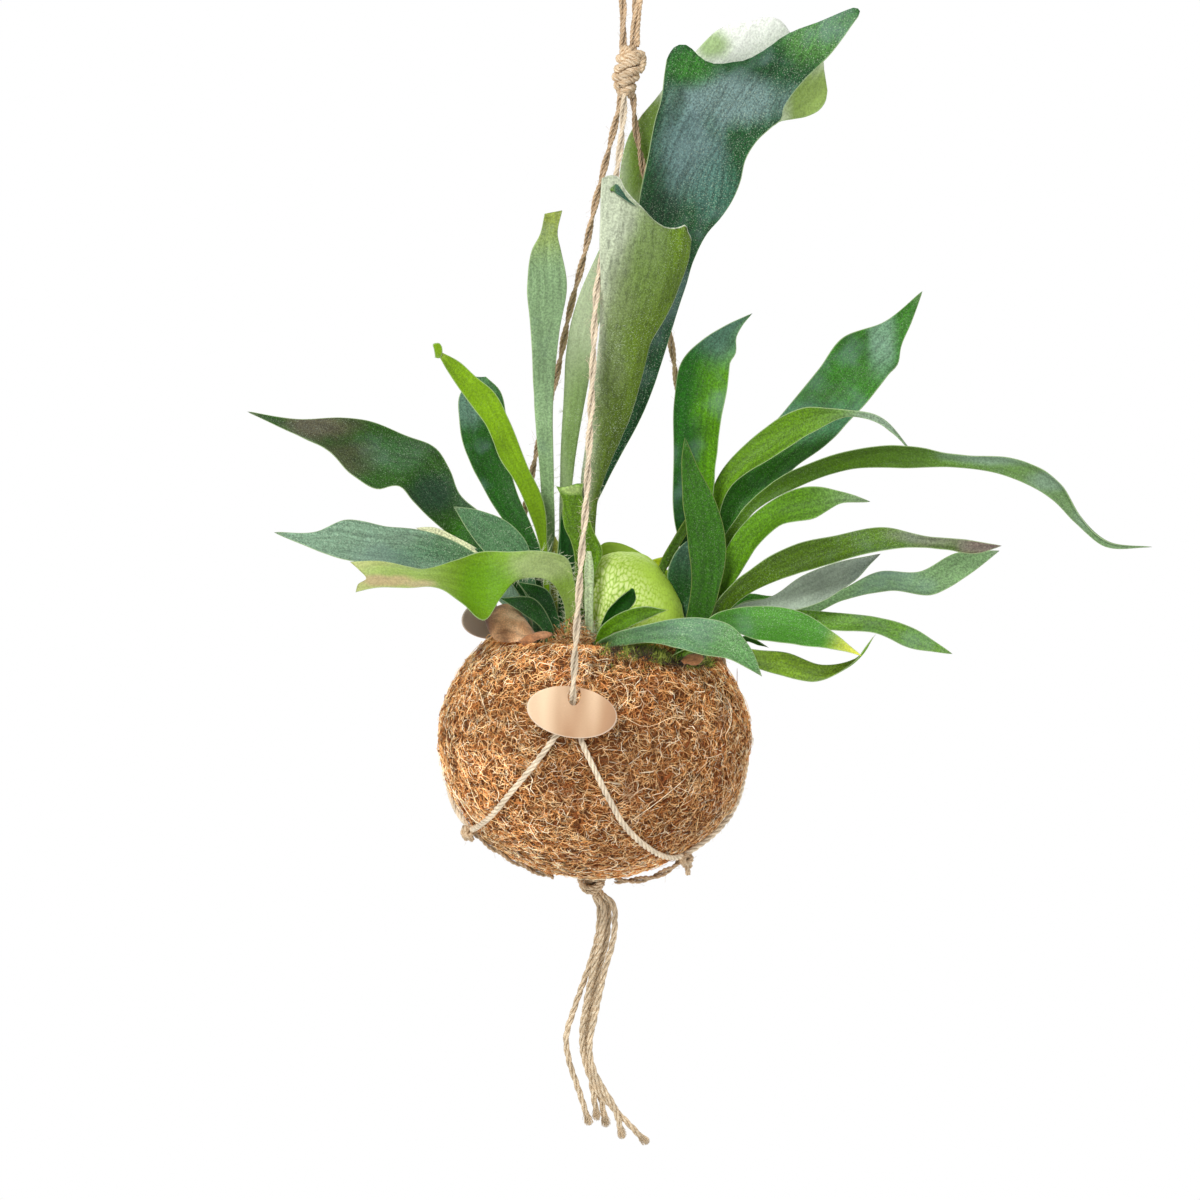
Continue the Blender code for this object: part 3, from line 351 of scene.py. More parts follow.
leaf(FRONDS, "frond_narrow_front", base=(42.5, -18.5), tip=(42, -30, 172), cup=2.5,
    left=((49, -23, 97), (45, -26, 121), (42, -28, 143), (41, -28, 159)),
    right=((64, -23, 88), (67, -22, 111), (61, -22, 135), (50, -26, 155)),
    look=dict(
        front=(46, 96, 18), back=(90, 130, 60), tip=(60, 100, 40), down=0.15, stem=(14, 74, 16),
        rim=(126, 138, 76)))
leaf(FRONDS, "frond_right_big", base=(47, 12.5), tip=(172, 56, 250), cup=3, ripple=2.5,
    left=((57, 14, 100), (64, 16, 130), (77, 22, 158), (98, 30, 184), (116, 37, 206),
        (128, 44, 222), (151, 49, 232)),
    right=((66, 14, 95), (79, 14, 130), (101, 14, 150), (123, 18, 168), (141, 25, 189),
        (147.6, 29, 197.4), (154.2, 33, 206.4), (159.2, 38, 211.6), (160.4, 42, 219.5),
        (166.4, 49, 234)),
    look=dict(
        front=(50, 110, 42), back=(100, 140, 70), tip=(84, 118, 66), bloom=0.3, down=0.2,
        stem=(24, 84, 30),
        marks=(((150, 42, 226), (9, 60, 26), (132, 166, 144), 0.6),
            ((112, 25, 178), (30, 60, 12), (70, 118, 92), 0.6))))
leaf(FRONDS, "frond_bright_right", base=(48, 9), tip=(167, -20, 166), cup=2.5, ripple=1.5,
    left=((55, 8, 112), (62, 6, 148), (84, 5, 173), (106, -1, 187), (126, -8, 188),
        (146, -13, 186)),
    right=((60, 8, 108), (69, 4, 142), (93, -3, 162), (112, -7, 176), (131, -10, 185),
        (147, -15, 182)),
    look=dict(
        front=(90, 132, 30), back=(130, 160, 90), tip=(124, 150, 116), bloom=0.05, down=0.12,
        stem=(70, 120, 30), tip_start=0.7,
        marks=(((148, -12, 183), (18, 60, 9), (138, 160, 134), 0.8),)))
leaf(FRONDS, "frond_long_arc", base=(48, -5), tip=(292, -57, 126), cup=2.5,
    left=((64, -8, 112), (77, -10, 134), (97, -15, 152), (126, -22, 166), (163, -30, 172),
        (189, -37, 169), (217, -44, 169), (242, -49, 158), (254, -51, 140), (268, -54, 128)),
    right=((69, -8, 105), (82, -10, 131), (105, -13, 146), (132, -18, 157), (164, -26, 160),
        (187, -33, 162), (215, -40, 159), (239, -45, 148), (251, -49, 137), (267, -52, 125)),
    look=dict(
        front=(74, 112, 12), back=(50, 94, 56), tip=(110, 140, 96), bloom=0.1, down=0.2,
        stem=(40, 92, 24), tip_start=0.5, mottle=0.2,
        marks=(((204, -40, 168), (24, 60, 4.5), (118, 144, 120), 0.85),
            ((238, -47, 158), (14, 60, 6), (118, 144, 120), 0.8),
            ((257, -52, 142), (8, 60, 9), (116, 140, 116), 0.7),
            ((118, -16, 153), (30, 60, 5), (62, 96, 24), 0.5))))
leaf(FRONDS, "frond_right_mid", base=(47, -12), tip=(142, -46, 143), cup=2.5, ripple=1.5,
    left=((62, -16, 98), (75, -18, 124), (91, -22, 139), (108, -28, 147), (125, -36, 147)),
    right=((73, -16, 94), (84, -22, 113), (96, -30, 127), (113, -36, 132), (127, -40, 141)),
    look=dict(
        front=(88, 138, 26), back=(60, 100, 50), tip=(108, 132, 92), down=0.12, stem=(30, 92, 24),
        tip_start=0.74))
leaf(FRONDS, "frond_right_long", base=(46, -15.5), tip=(210, -78, 126), cup=2.5, ripple=1.5,
    left=((67, -22, 88), (83, -29, 104), (104, -34, 117), (123, -41, 123), (148, -50, 130),
        (174, -61, 127), (192, -69, 127)),
    right=((76, -22, 84), (96, -31, 97), (120, -42, 107), (140, -51, 115), (158, -58, 120),
        (181, -67, 122), (197, -73, 121)),
    look=dict(
        front=(74, 106, 16), back=(60, 100, 50), tip=(104, 86, 84), bloom=0.12, down=0.25,
        stem=(40, 92, 30),
        marks=(((203, -75, 126), (16, 60, 9), (116, 100, 94), 0.9),
            ((172, -64, 127), (22, 60, 5), (126, 130, 108), 0.7))))
leaf(FRONDS, "frond_grey", base=(47, -8.5), tip=(150, -29, 113), cup=2,
    left=((76, -12, 80), (93, -13, 85), (109, -14, 97), (125, -19, 105)),
    right=((80, -12, 76), (101, -17, 78), (120, -24, 85), (136, -27, 97)),
    look=dict(
        front=(164, 178, 160), back=(70, 100, 60), tip=(118, 120, 112), bloom=0.2, down=0.3,
        mottle=0.14, stem=(64, 100, 52), stem_end=0.66))
leaf(FRONDS, "frond_right_back", base=(46.5, 5.5), tip=(219, 22, 111), cup=2, ripple=1.5,
    left=((81, 5, 80), (110, 7, 80), (131, 9, 87), (153, 13, 98), (176, 17, 98), (194, 20, 108)),
    right=((84, 5, 75), (113, 5, 73), (134, 7, 82), (159, 9, 88), (183, 11, 87), (200, 14, 97)),
    look=dict(
        front=(112, 146, 98), back=(80, 120, 70), tip=(122, 144, 112), bloom=0.4, down=0.25,
        stem=(60, 116, 50)))
leaf(FRONDS, "frond_right_behind", base=(44.5, 15.5), tip=(99, 30, 79), cup=1.5,
    left=((62, 18, 77), (72, 21, 79), (83, 25, 81)),
    right=((64, 18, 73), (74, 19, 73), (84, 23, 74)),
    look=dict(front=(60, 128, 20), back=(80, 120, 60), tip=(60, 110, 40), down=0.2))
leaf(FRONDS, "frond_broad", base=(40, -22), tip=(140, -68, 63), cup=2.5, ripple=1.5,
    left=((63, -31, 77), (83, -37, 83), (105, -44, 83), (125, -58, 73)),
    right=((66, -31, 68), (87, -47, 66), (107, -60, 66), (126, -64, 66)),
    look=dict(
        front=(68, 130, 56), back=(110, 150, 60), tip=(222, 224, 76), bloom=0.2, down=0.3,
        tip_start=0.8, mottle=0.18, stem=(40, 100, 40)))
leaf(FRONDS, "frond_right_low", base=(46.5, -1.5), tip=(191, -35, 61), cup=2, ripple=1.5,
    left=((79, -5, 75), (104, -8, 78), (123, -11, 78), (156, -20, 76), (171, -25, 72)),
    right=((82, -5, 69), (107, -10, 68), (130, -17, 68), (151, -24, 69), (168, -29, 63)),
    look=dict(
        front=(98, 142, 68), back=(120, 150, 100), tip=(96, 130, 60), bloom=0.25, down=0.25,
        stem=(120, 160, 100)))
leaf(FRONDS, "frond_right_lowest", base=(37, -25), tip=(148, -50, 72), neck=((42, -27.5, 51),),
    cup=2, ripple=1,
    left=((69, -34, 61), (87, -37, 59), (102, -38, 58), (121, -41, 53), (138, -45, 58)),
    right=((71, -34, 57), (85, -39, 50), (98, -42, 47), (117, -45, 45), (134, -47, 53)),
    look=dict(
        front=(114, 148, 58), back=(110, 156, 50), tip=(146, 152, 96), bloom=0.05, down=0.15,
        stem=(40, 100, 36)))

# The round shield leaves, in the same form. The dry one has the husk's finish.
leaf(SHIELDS, "shield_green", base=(12, -14), cup=-9,
    left=((4, -15, 56), (-3.6, -17, 61), (-4.6, -17, 72), (-4.4, -15, 84), (-3.6, -12, 94),
        (-1, -8, 100.8), (3.4, -4, 103.4), (9, -1, 104.6), (16, 1, 104.8)),
    right=((22, -14, 57), (38, -14, 58), (46, -11, 67), (44.8, -7, 76.5), (40.6, -4, 84.8),
        (34.5, -1, 93)),
    end=((22, 1.2, 102.6), (28, 0.5, 98.8)),
    look=dict(top=(170, 203, 70), pale=(218, 234, 150), line=(106, 150, 36)))
leaf(SHIELDS, "shield_back", base=(12, 12), cup=-3, ripple=1.5,
    left=((10, 12, 58), (4, 14, 66), (-1, 14, 84), (-3, 14, 98), (-2, 15, 105)),
    right=((14, 12, 58), (32, 14, 62), (43, 15, 78), (38, 16, 92), (24, 16, 101)),
    end=((1, 15.5, 107.4), (8, 16, 107.8), (15.5, 16, 105.6)),
    look=dict(top=(172, 210, 60), pale=(190, 220, 90), line=(150, 196, 50)))
leaf(SHIELDS, "shield_brown", base=(-37, -22), cup=-4, ripple=1,
    left=((-38, -34, 57.5), (-46, -39, 58.5), (-55, -35, 59.5), (-60.5, -26, 64)),
    right=((-36, -21, 63), (-42, -17, 70), (-51, -13, 75), (-58, -14, 73)),
    end=((-61.5, -19, 69),))

# Young leaves and stubs among the stems, curled tips, and the folded lip of the funnel frond
leaf(SMALL_LEAVES, "small_leaf_back", base=(-27, 6), tip=(-70, 10, 102), cup=1.0,
    left=((-34, 8, 66), (-50, 9, 84), (-62, 10, 96)),
    right=((-20, 6, 74), (-27, 8, 98), (-44, 9, 106)),
    look=dict(
        front=(30, 84, 40), back=(60, 110, 60), tip=(50, 100, 60), bloom=0.1, down=0.2,
        rim=(70, 120, 70)))
leaf(SMALL_LEAVES, "curled_tip", base=(-92, -24), tip=(-91.6, -25, 216.8), cup=0.4, foot=209,
    width=2.4,
    left=((-94, -25, 213.4), (-94.6, -25, 216)),
    right=((-90, -25, 212.6), (-90.4, -25, 215)),
    look=dict(front=(120, 160, 20), back=(130, 166, 50), tip=(150, 180, 50), mottle=0.1))
leaf(SMALL_LEAVES, "leaf_behind_left", base=(-33, 9), tip=(-103, 20, 111), cup=0.5,
    left=((-50, 14, 78), (-68, 18, 93), (-80, 20, 102), (-91, 20, 106.6)),
    right=((-48, 14, 83), (-66, 18, 99), (-82, 20, 107.4), (-92, 20, 111.4)),
    look=dict(
        front=(226, 228, 184), back=(200, 206, 150), tip=(224, 224, 180), stem=(70, 116, 60),
        stem_end=0.8, rim=(226, 228, 190)))
leaf(SMALL_LEAVES, "stub_behind_young", base=(-19, -9), cup=1,
    left=((-21.5, -11, 96), (-22.8, -12, 110), (-23, -12, 122)),
    right=((-15, -11, 96), (-16, -12, 110), (-18.6, -12, 120), (-22.4, -12, 128)),
    look=dict(front=(22, 78, 28), back=(60, 110, 60), tip=(30, 84, 30), rim=(50, 100, 50)))
leaf(SMALL_LEAVES, "leaf_tip_right", base=(74, -28), tip=(92, -32, 60), cup=0.8, foot=60,
    left=((80, -30, 65.5), (86, -31, 63.5)),
    right=((80, -30, 62.5), (86, -31, 61)),
    look=dict(front=(46, 104, 40), back=(80, 120, 60), tip=(90, 120, 60)))
leaf(SMALL_LEAVES, "leaf_behind_right", base=(43, -3), tip=(46.5, -3, 113), cup=1.2,
    left=((44, -3, 70), (41, -3, 82), (36.3, -3, 93), (38.2, -3, 102), (41.5, -3, 108)),
    right=((49, -3, 70), (51, -3, 82), (52, -3, 94), (52, -3, 104), (50, -3, 110)),
    look=dict(
        front=(36, 88, 40), back=(60, 110, 60), tip=(70, 104, 84), bloom=0.55, down=0.2,
        tip_start=0.6))
leaf(SMALL_LEAVES, "stem_behind_right", base=(31, -1.5), cup=0.5, foot=90, width=2.4,
    left=((33.5, -1.5, 103), (38, -1.5, 112), (43.5, -1.5, 122), (49, -1.5, 131)),
    right=((38.5, -1.5, 103), (43, -1.5, 111), (47, -1.5, 119), (51, -1.5, 127)),
    look=dict(front=(62, 96, 16), back=(60, 100, 30), tip=(74, 110, 20), rim=(126, 138, 60)))
leaf(SMALL_LEAVES, "stub_right", base=(28, 3), cup=0.8, foot=88, width=5,
    left=((26, 4, 96), (27, 4, 100), (31, 4, 101.8)),
    right=((34, 4, 95), (38, 3.5, 99), (39, 3, 104)),
    look=dict(front=(176, 196, 62), back=(150, 180, 60), tip=(160, 184, 50), mottle=0.14))
leaf(SMALL_LEAVES, "small_leaf_low", base=(-24, -14), tip=(-54, -24, 80), cup=1.5,
    left=((-30, -18, 62), (-42, -22, 72)),
    right=((-26, -17, 66), (-36, -20, 80)),
    look=dict(front=(30, 84, 34), back=(90, 130, 70), tip=(40, 90, 40), bloom=0.1, down=0.2))
leaf(SMALL_LEAVES, "small_leaf_middle", base=(-22, -8), tip=(-45, -15, 88), cup=1.5,
    left=((-27, -12, 64), (-37, -14, 78)),
    right=((-22, -12, 68), (-29, -13, 84)),
    look=dict(front=(34, 92, 40), back=(90, 130, 70), tip=(40, 90, 40), bloom=0.1, down=0.25))
leaf(SMALL_LEAVES, "funnel_fold", base=(-2.8, -28.2), tip=(10.8, -30.4, 294.4), cup=0, foot=302.6,
    width=1.2,
    left=((0.0, -28.2, 305.4), (2.8, -29.2, 302.6), (6.0, -30.0, 298.4)),
    right=((0.8, -29.8, 300.0), (3.2, -30.4, 298.6), (6.4, -30.8, 296.6)),
    look=dict(
        front=(44, 88, 66), back=(60, 100, 60), tip=(60, 100, 80), bloom=0.5, down=0.3,
        rim=(176, 190, 160)))
leaf(SMALL_LEAVES, "stub_left", base=(-24, 2), tip=(-26, 2, 112), cup=0.8,
    left=((-27, 2, 80), (-28, 2, 100)),
    right=((-20, 2, 80), (-20, 2, 100)),
    look=dict(front=(150, 160, 84), back=(120, 140, 70), tip=(170, 160, 90), down=0.2))
leaf(SMALL_LEAVES, "stub_middle", base=(-18, -2), cup=1.2,
    left=((-23, -2, 80), (-24, -2, 104), (-22, -2, 128)),
    right=((-13, -2, 80), (-13, -2, 104), (-16, -2, 130)),
    look=dict(front=(28, 80, 26), back=(60, 110, 40), tip=(40, 90, 30)))

# Dry scraps on the rim: the curled ear of the husk and a broken piece in the moss
leaf(DRY_SCRAPS, "husk_ear", base=(-41, -51), tip=(-24, -51.5, 65.4), cup=-1.2, ripple=0.6,
    foot=60.5, width=2.5,
    left=((-38, -50, 63.5), (-33, -51, 66), (-28, -52, 66.8)),
    right=((-38, -52, 60.6), (-33, -53.5, 62.3), (-28, -53.5, 63.6)))
leaf(DRY_SCRAPS, "dry_scrap", base=(46, -54), tip=(57, -53, 56.6), cup=-1.0, ripple=0.5, foot=54,
    width=2.5,
    left=((48, -53.5, 57.2), (52, -53, 58.4)),
    right=((49, -55.5, 53.2), (53, -55.5, 52.8)))

# The cords that run through the air, point by point
LOOP_ROUTE = (
    (0.5, 0, 377.8), (0.4, 0, 390), (-0.8, 0, 403), (-4.5, 0, 417), (-6.5, 0, 429), (-3.6, 0, 440),
    (3, 0, 444.5), (9.6, 0, 440), (12.5, 0, 429), (10, 0, 417), (6.6, 0, 403), (6.0, 0, 390),
    (6.1, 0, 377.8),
)
LEG_ROUTES = {
    "leg_front": (
        (2.4, -2.9, 353), (1.6, -9.8, 328), (0, -14.2, 312), (-3.9, -23.2, 277), (-7.8, -29.6, 255),
        (-8.7, -35, 238), (-8.7, -41, 216), (-8.9, -48.8, 186), (-9.3, -60.7, 143),
        (-10.6, -68.9, 113), (-11.9, -81.6, 67), (-12.2, -88.6, 48), (-12.3, -90.1, 42.2),
        (-12.3, -87, 36.8), (-12.3, -83.8, 32), (-12.3, -83, 28), (-12.3, -83.4, 24.6),
    ),
    "leg_back_left": (
        (0.9, 2.3, 353), (-3, 5.6, 332), (-6.8, 8.7, 314), (-10.6, 11.9, 296), (-16.4, 17.6, 263),
        (-22.2, 22.1, 237), (-29.4, 29.6, 194), (-38, 36.2, 156), (-43.6, 42.1, 122),
        (-49.6, 48.8, 84), (-56.2, 55.4, 46), (-59.8, 59.2, 26),
    ),
    "leg_back_right": (
        (6.7, 2.3, 353), (9.3, 4.3, 334), (14.6, 7.1, 311), (23.5, 12.5, 267), (32.5, 18, 222),
        (37.4, 21.1, 197), (52, 29.8, 126), (66.4, 38.6, 54), (73.3, 42.1, 26.5),
    ),
}

# The cords that lie on the ball, as (direction in degrees, height)
STRAND_ROUTES = {
    "strand_front_left": (
        (-99.6, 23.6), (-103, 17), (-110.5, 1), (-119.5, -15), (-131.8, -31), (-148, -42),
        (-162, -47),
    ),
    "strand_front_right": (
        (-97.2, 23.6), (-95.2, 16), (-89.8, 0), (-83.6, -17), (-77.7, -30), (-67, -42.5),
        (-52.3, -51.5), (-38, -55.4), (-28, -56),
    ),
    "strand_left_front": ((136.6, 24), (141, 13), (160, -14), (180, -36), (198, -47)),
    "strand_left_back": ((134.2, 24), (130, 13), (116, -16), (100, -40), (83, -52)),
    "strand_right_front": ((28.6, 25), (24, 13), (9, -16), (-10, -42.5), (-28, -56)),
    "strand_right_back": ((31, 25), (35, 13), (50, -16), (66, -40), (83, -52)),
}
UNDER_ROUTES = {
    "under_left": ((-162, -47), (-160, -59), (-156, -68), (-152, -72.6)),
    "under_right": ((-28, -56), (-29, -64), (-31, -70.4), (-33, -73.6)),
    "under_back": ((83, -52), (83, -62), (84, -69), (85, -73)),
}
RING_KNOTS = {
    "ring_knot_left": (-162, -47),
    "ring_knot_right": (-28, -56),
    "ring_knot_back": (83, -52),
}

# The five loose ends below the bottom knot
TASSEL_ROUTES = {
    "tassel_1": (
        (4, -2.2, -86.6), (8, -2.2, -92.3), (8.3, -2, -106), (3.3, -2, -134), (0.7, -1.5, -151),
        (-0.5, -1, -165), (0.5, -0.5, -176), (3.7, 0, -187), (10.3, 0, -199), (19, 0, -208),
        (37.6, 0, -226),
    ),
    "tassel_2": (
        (7.8, -1.8, -86), (13.6, -2, -91), (15.2, -2, -102), (9.9, -2.5, -133), (6, -3.5, -156),
        (4, -4.5, -172), (6.3, -4.5, -184), (12, -4, -195), (18.7, -4, -205), (24, -4, -222),
    ),
    "tassel_3": (
        (2.4, 2, -86), (5.6, 2, -92), (6.4, 2, -106), (3, 2, -124), (-1.5, 2, -139),
        (-5.9, 2, -154), (-9.2, 2, -169), (-7.1, 2, -182), (-2.1, 2.5, -196), (5.4, 3, -217),
    ),
    "tassel_4": (
        (6.2, 2, -86), (10.6, 2, -92), (11.5, 2, -106), (6.8, 2.2, -134), (4.5, 2.6, -151),
        (3.5, 3, -165), (3.3, 3.4, -176), (4.6, 3.8, -187), (6.8, 4, -199), (9.8, 4, -214),
    ),
    "tassel_5": (
        (4.6, 5.4, -86), (8.8, 5.6, -92), (10, 5.7, -106), (5, 5.9, -134), (2.9, 6.2, -151),
        (1.8, 6.7, -165), (2.2, 7.1, -176), (5.5, 7.5, -187), (9.8, 7.7, -199), (15, 7.8, -219),
    ),
}

# How many hairs stand on each young stem
STEM_HAIRS = {
    "frond_arching": 420, "frond_bud": 260, "frond_curled_young": 220, "frond_narrow_upright": 240,
    "frond_vivid": 120, "frond_small_bright": 120, "frond_back_pale": 120, "frond_pale_funnel": 160,
}

# How far each cord under the ball hangs off it, or is pressed in
UNDER_SLACK = {"under_left": -1.2, "under_right": 2.2, "under_back": 0.6}
# How thick a ply is, and how far its middle lies from its strand's, as shares of the strand's width
PLY_RADIUS = {2: 0.28, 3: 0.25}
PLY_REACH = {2: 0.22, 3: 0.26}
# How a sprig of moss thins out from its foot
SPRIG_TAPER = (1, 0.9, 0.7, 0.2)


def linear(value):
    """A colour given as three numbers up to 255, as the shader's linear values. Numbers pass."""
    if not isinstance(value, tuple):
        return value
    share = np.array(value) / 255
    share = np.where(share <= 0.04045, share / 12.92, ((share + 0.055) / 1.055) ** 2.4)
    return (*share.tolist(), 1)


def leaf_tint(red, green, blue):
    """A leaf colour with the blue that a thin living blade takes out of the light. A grey one
    keeps its blue."""
    grey = min(1.0, max(0.0, (blue / green - 0.45) / 0.25))
    return red, green, blue * (grey + (1 - grey) * (0.3 + 0.7 * blue / green))


def unit(vectors):
    """The same directions with a length of 1."""
    return vectors / (np.linalg.norm(vectors, axis=-1, keepdims=True) + 1e-12)


def smooth_curve(points, shares):
    """Points of a smooth curve through the given ones: cubic pieces whose slope at each point is
    the slope between its neighbours. shares is a count, or the shares of the length to read at."""
    p = np.array(points, float)
    t = np.concatenate([[0], np.cumsum(np.linalg.norm(np.diff(p, axis=0), axis=1))])
    slope = np.gradient(p, t, axis=0)
    s = t[-1] * (np.linspace(0, 1, shares) if isinstance(shares, int) else np.asarray(shares))
    i = np.clip(np.searchsorted(t, s, side="right") - 1, 0, len(t) - 2)
    h = (t[i + 1] - t[i])[:, None]
    f = (s - t[i])[:, None] / h
    return (
        (2 * f**3 - 3 * f**2 + 1) * p[i] + (f**3 - 2 * f**2 + f) * h * slope[i]
        + (3 * f**2 - 2 * f**3) * p[i + 1] + (f**3 - f**2) * h * slope[i + 1]
    )


def run_length(line):
    """The distance along a line at each of its points."""
    return np.concatenate([[0], np.cumsum(np.linalg.norm(np.diff(line, axis=0), axis=1))])


def soft_noise(points, size, seed):
    """Smooth random values from -1 to 1: random numbers at the corners of cubes of this size,
    blended between the eight corners round each point. The large numbers scatter the bits of a
    corner's place, so that each corner has its own value."""
    scaled = np.asarray(points, float) / size
    corner = np.floor(scaled).astype(np.int64)
    f = scaled - corner
    f = f * f * (3 - 2 * f)
    total = 0.0
    for step in np.ndindex(2, 2, 2):
        x, y, z = np.moveaxis(corner + np.array(step), -1, 0)
        h = (x * 73856093) ^ (y * 19349663) ^ (z * 83492791) ^ (seed * 2654435761)
        h = (h ^ (h >> 13)) * 1274126177 & 0xFFFFFFFF
        h = ((h ^ (h >> 16)) & 0xFFFF) / 32767.5 - 1
        total = total + h * np.prod(np.where(step, f, 1 - f), axis=-1)
    return total


def ball_point(turn, height, out):
    """A place on the ball: a squat round surface with shallow lumps, moved out along its normal."""
    turn, height, out = np.broadcast_arrays(turn, height, out)
    share = np.clip(height / BALL_HALF_HEIGHT, -1, 1)
    evenness = np.sqrt(1 - share**2)
    across = np.stack([np.cos(turn), np.sin(turn), 0 * turn], -1) * evenness[..., None]
    upward = UP * share[..., None]
    normal = unit(across / BALL_RADIUS + upward / BALL_HALF_HEIGHT)
    lump = BALL_LUMP * evenness * np.sin(3 * turn + 0.06 * height) * np.cos(0.05 * height + turn)
    middle = across * BALL_RADIUS + upward * BALL_HALF_HEIGHT
    return middle + normal * (out + lump)[..., None]


def rim_height(turn):
    """The height of the ball's open edge, lower on the right and raised at the front."""
    front = np.maximum(0, -np.sin(turn)) ** 2.5
    return RIM_HEIGHT - RIM_SLOPE * np.cos(turn) + FRONT_LIP * front


def soil_height(x):
    """The height of the growing mix, a little lower on the right."""
    return SOIL_TOP - SOIL_SLOPE * x


def moss_height(x, y):
    """The height of the moss, a low dome on the growing mix."""
    reach = np.minimum(1, np.hypot(x, y) / MOSS_RADIUS)
    return soil_height(x) + MOSS_EDGE + MOSS_RISE * (1 - reach**2.5)


def make_piece(name, points, faces, finish, slot, replaced=(), uv=None, **values):
    """A mesh from whole arrays: points in mm, faces as arrays of faces with equally many sides,
    uv per face corner, and any values per point."""
    data = bpy.data.meshes.new(name)
    places = (np.asarray(points, float).reshape(-1, 3) - LOOP_INSIDE_TOP) * MM
    corners = np.concatenate([f.ravel() for f in faces])
    sizes = np.concatenate([np.full(len(f), f.shape[1]) for f in faces])
    data.vertices.add(len(places))
    data.vertices.foreach_set("co", places.ravel())
    data.loops.add(len(corners))
    data.loops.foreach_set("vertex_index", corners)
    data.polygons.add(len(sizes))
    data.polygons.foreach_set("loop_start", np.cumsum(sizes) - sizes)
    data.update(calc_edges=True)
    data.shade_smooth()
    if uv is not None:
        data.uv_layers.new(name="UVMap").data.foreach_set("uv", np.asarray(uv, float).ravel())
    for key, numbers in values.items():
        made = data.attributes.new(key, "FLOAT", "POINT")
        made.data.foreach_set("value", np.asarray(numbers, np.float32).ravel())
    data.materials.append(finish)
    piece = bpy.data.objects.new(name, data)
    bpy.context.scene.collection.objects.link(piece)
    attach(piece, "root")
    if replaced:
        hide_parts(*replaced)
    return piece


def grid_faces(rows, columns):
    """Four-sided faces between rows of points, each row a closed ring."""
    row = np.arange(rows - 1)[:, None] * columns
    k = np.arange(columns)
    after = (k + 1) % columns
    faces = np.stack([row + k, row + after, row + columns + after, row + columns + k], -1)
    return faces.reshape(-1, 4)


def cross_frame(tangent):
    """Two directions across each line, from the axis that the line runs along least."""
    plain = np.eye(3)[np.abs(tangent).max(axis=-2).argmin(axis=-1)]
    first = unit(np.cross(tangent, plain[..., None, :]))
    return first, np.cross(tangent, first)


def tubes(lines, radii, sides=3):
    """Round strands: rings of points that stand across each line, joined, with both ends closed."""
    lines = np.asarray(lines, float)
    count, steps, _ = lines.shape
    first, second = cross_frame(unit(np.gradient(lines, axis=1)))
    angle = (FULL_TURN * np.arange(sides) / sides)[:, None]
    ring = first[:, :, None] * np.cos(angle) + second[:, :, None] * np.sin(angle)
    points = lines[:, :, None] + np.broadcast_to(radii, (count, steps))[..., None, None] * ring
    start = np.arange(count)[:, None] * steps * sides
    quads = (start[:, :, None] + grid_faces(steps, sides)[None]).reshape(-1, 4)
    near = start + np.arange(sides)[::-1]
    far = start + (steps - 1) * sides + np.arange(sides)
    return points.reshape(-1, 3), [quads, np.concatenate([near, far])]


def make_strands(name, lines, radii, finish, slot, tone=None):
    """A piece made of thin strands. tone is one value for each strand."""
    points, faces = tubes(lines, radii)
    values = {} if tone is None else dict(tone=np.repeat(tone, len(points) // len(tone)))
    make_piece(name, points, faces, finish, slot, **values)


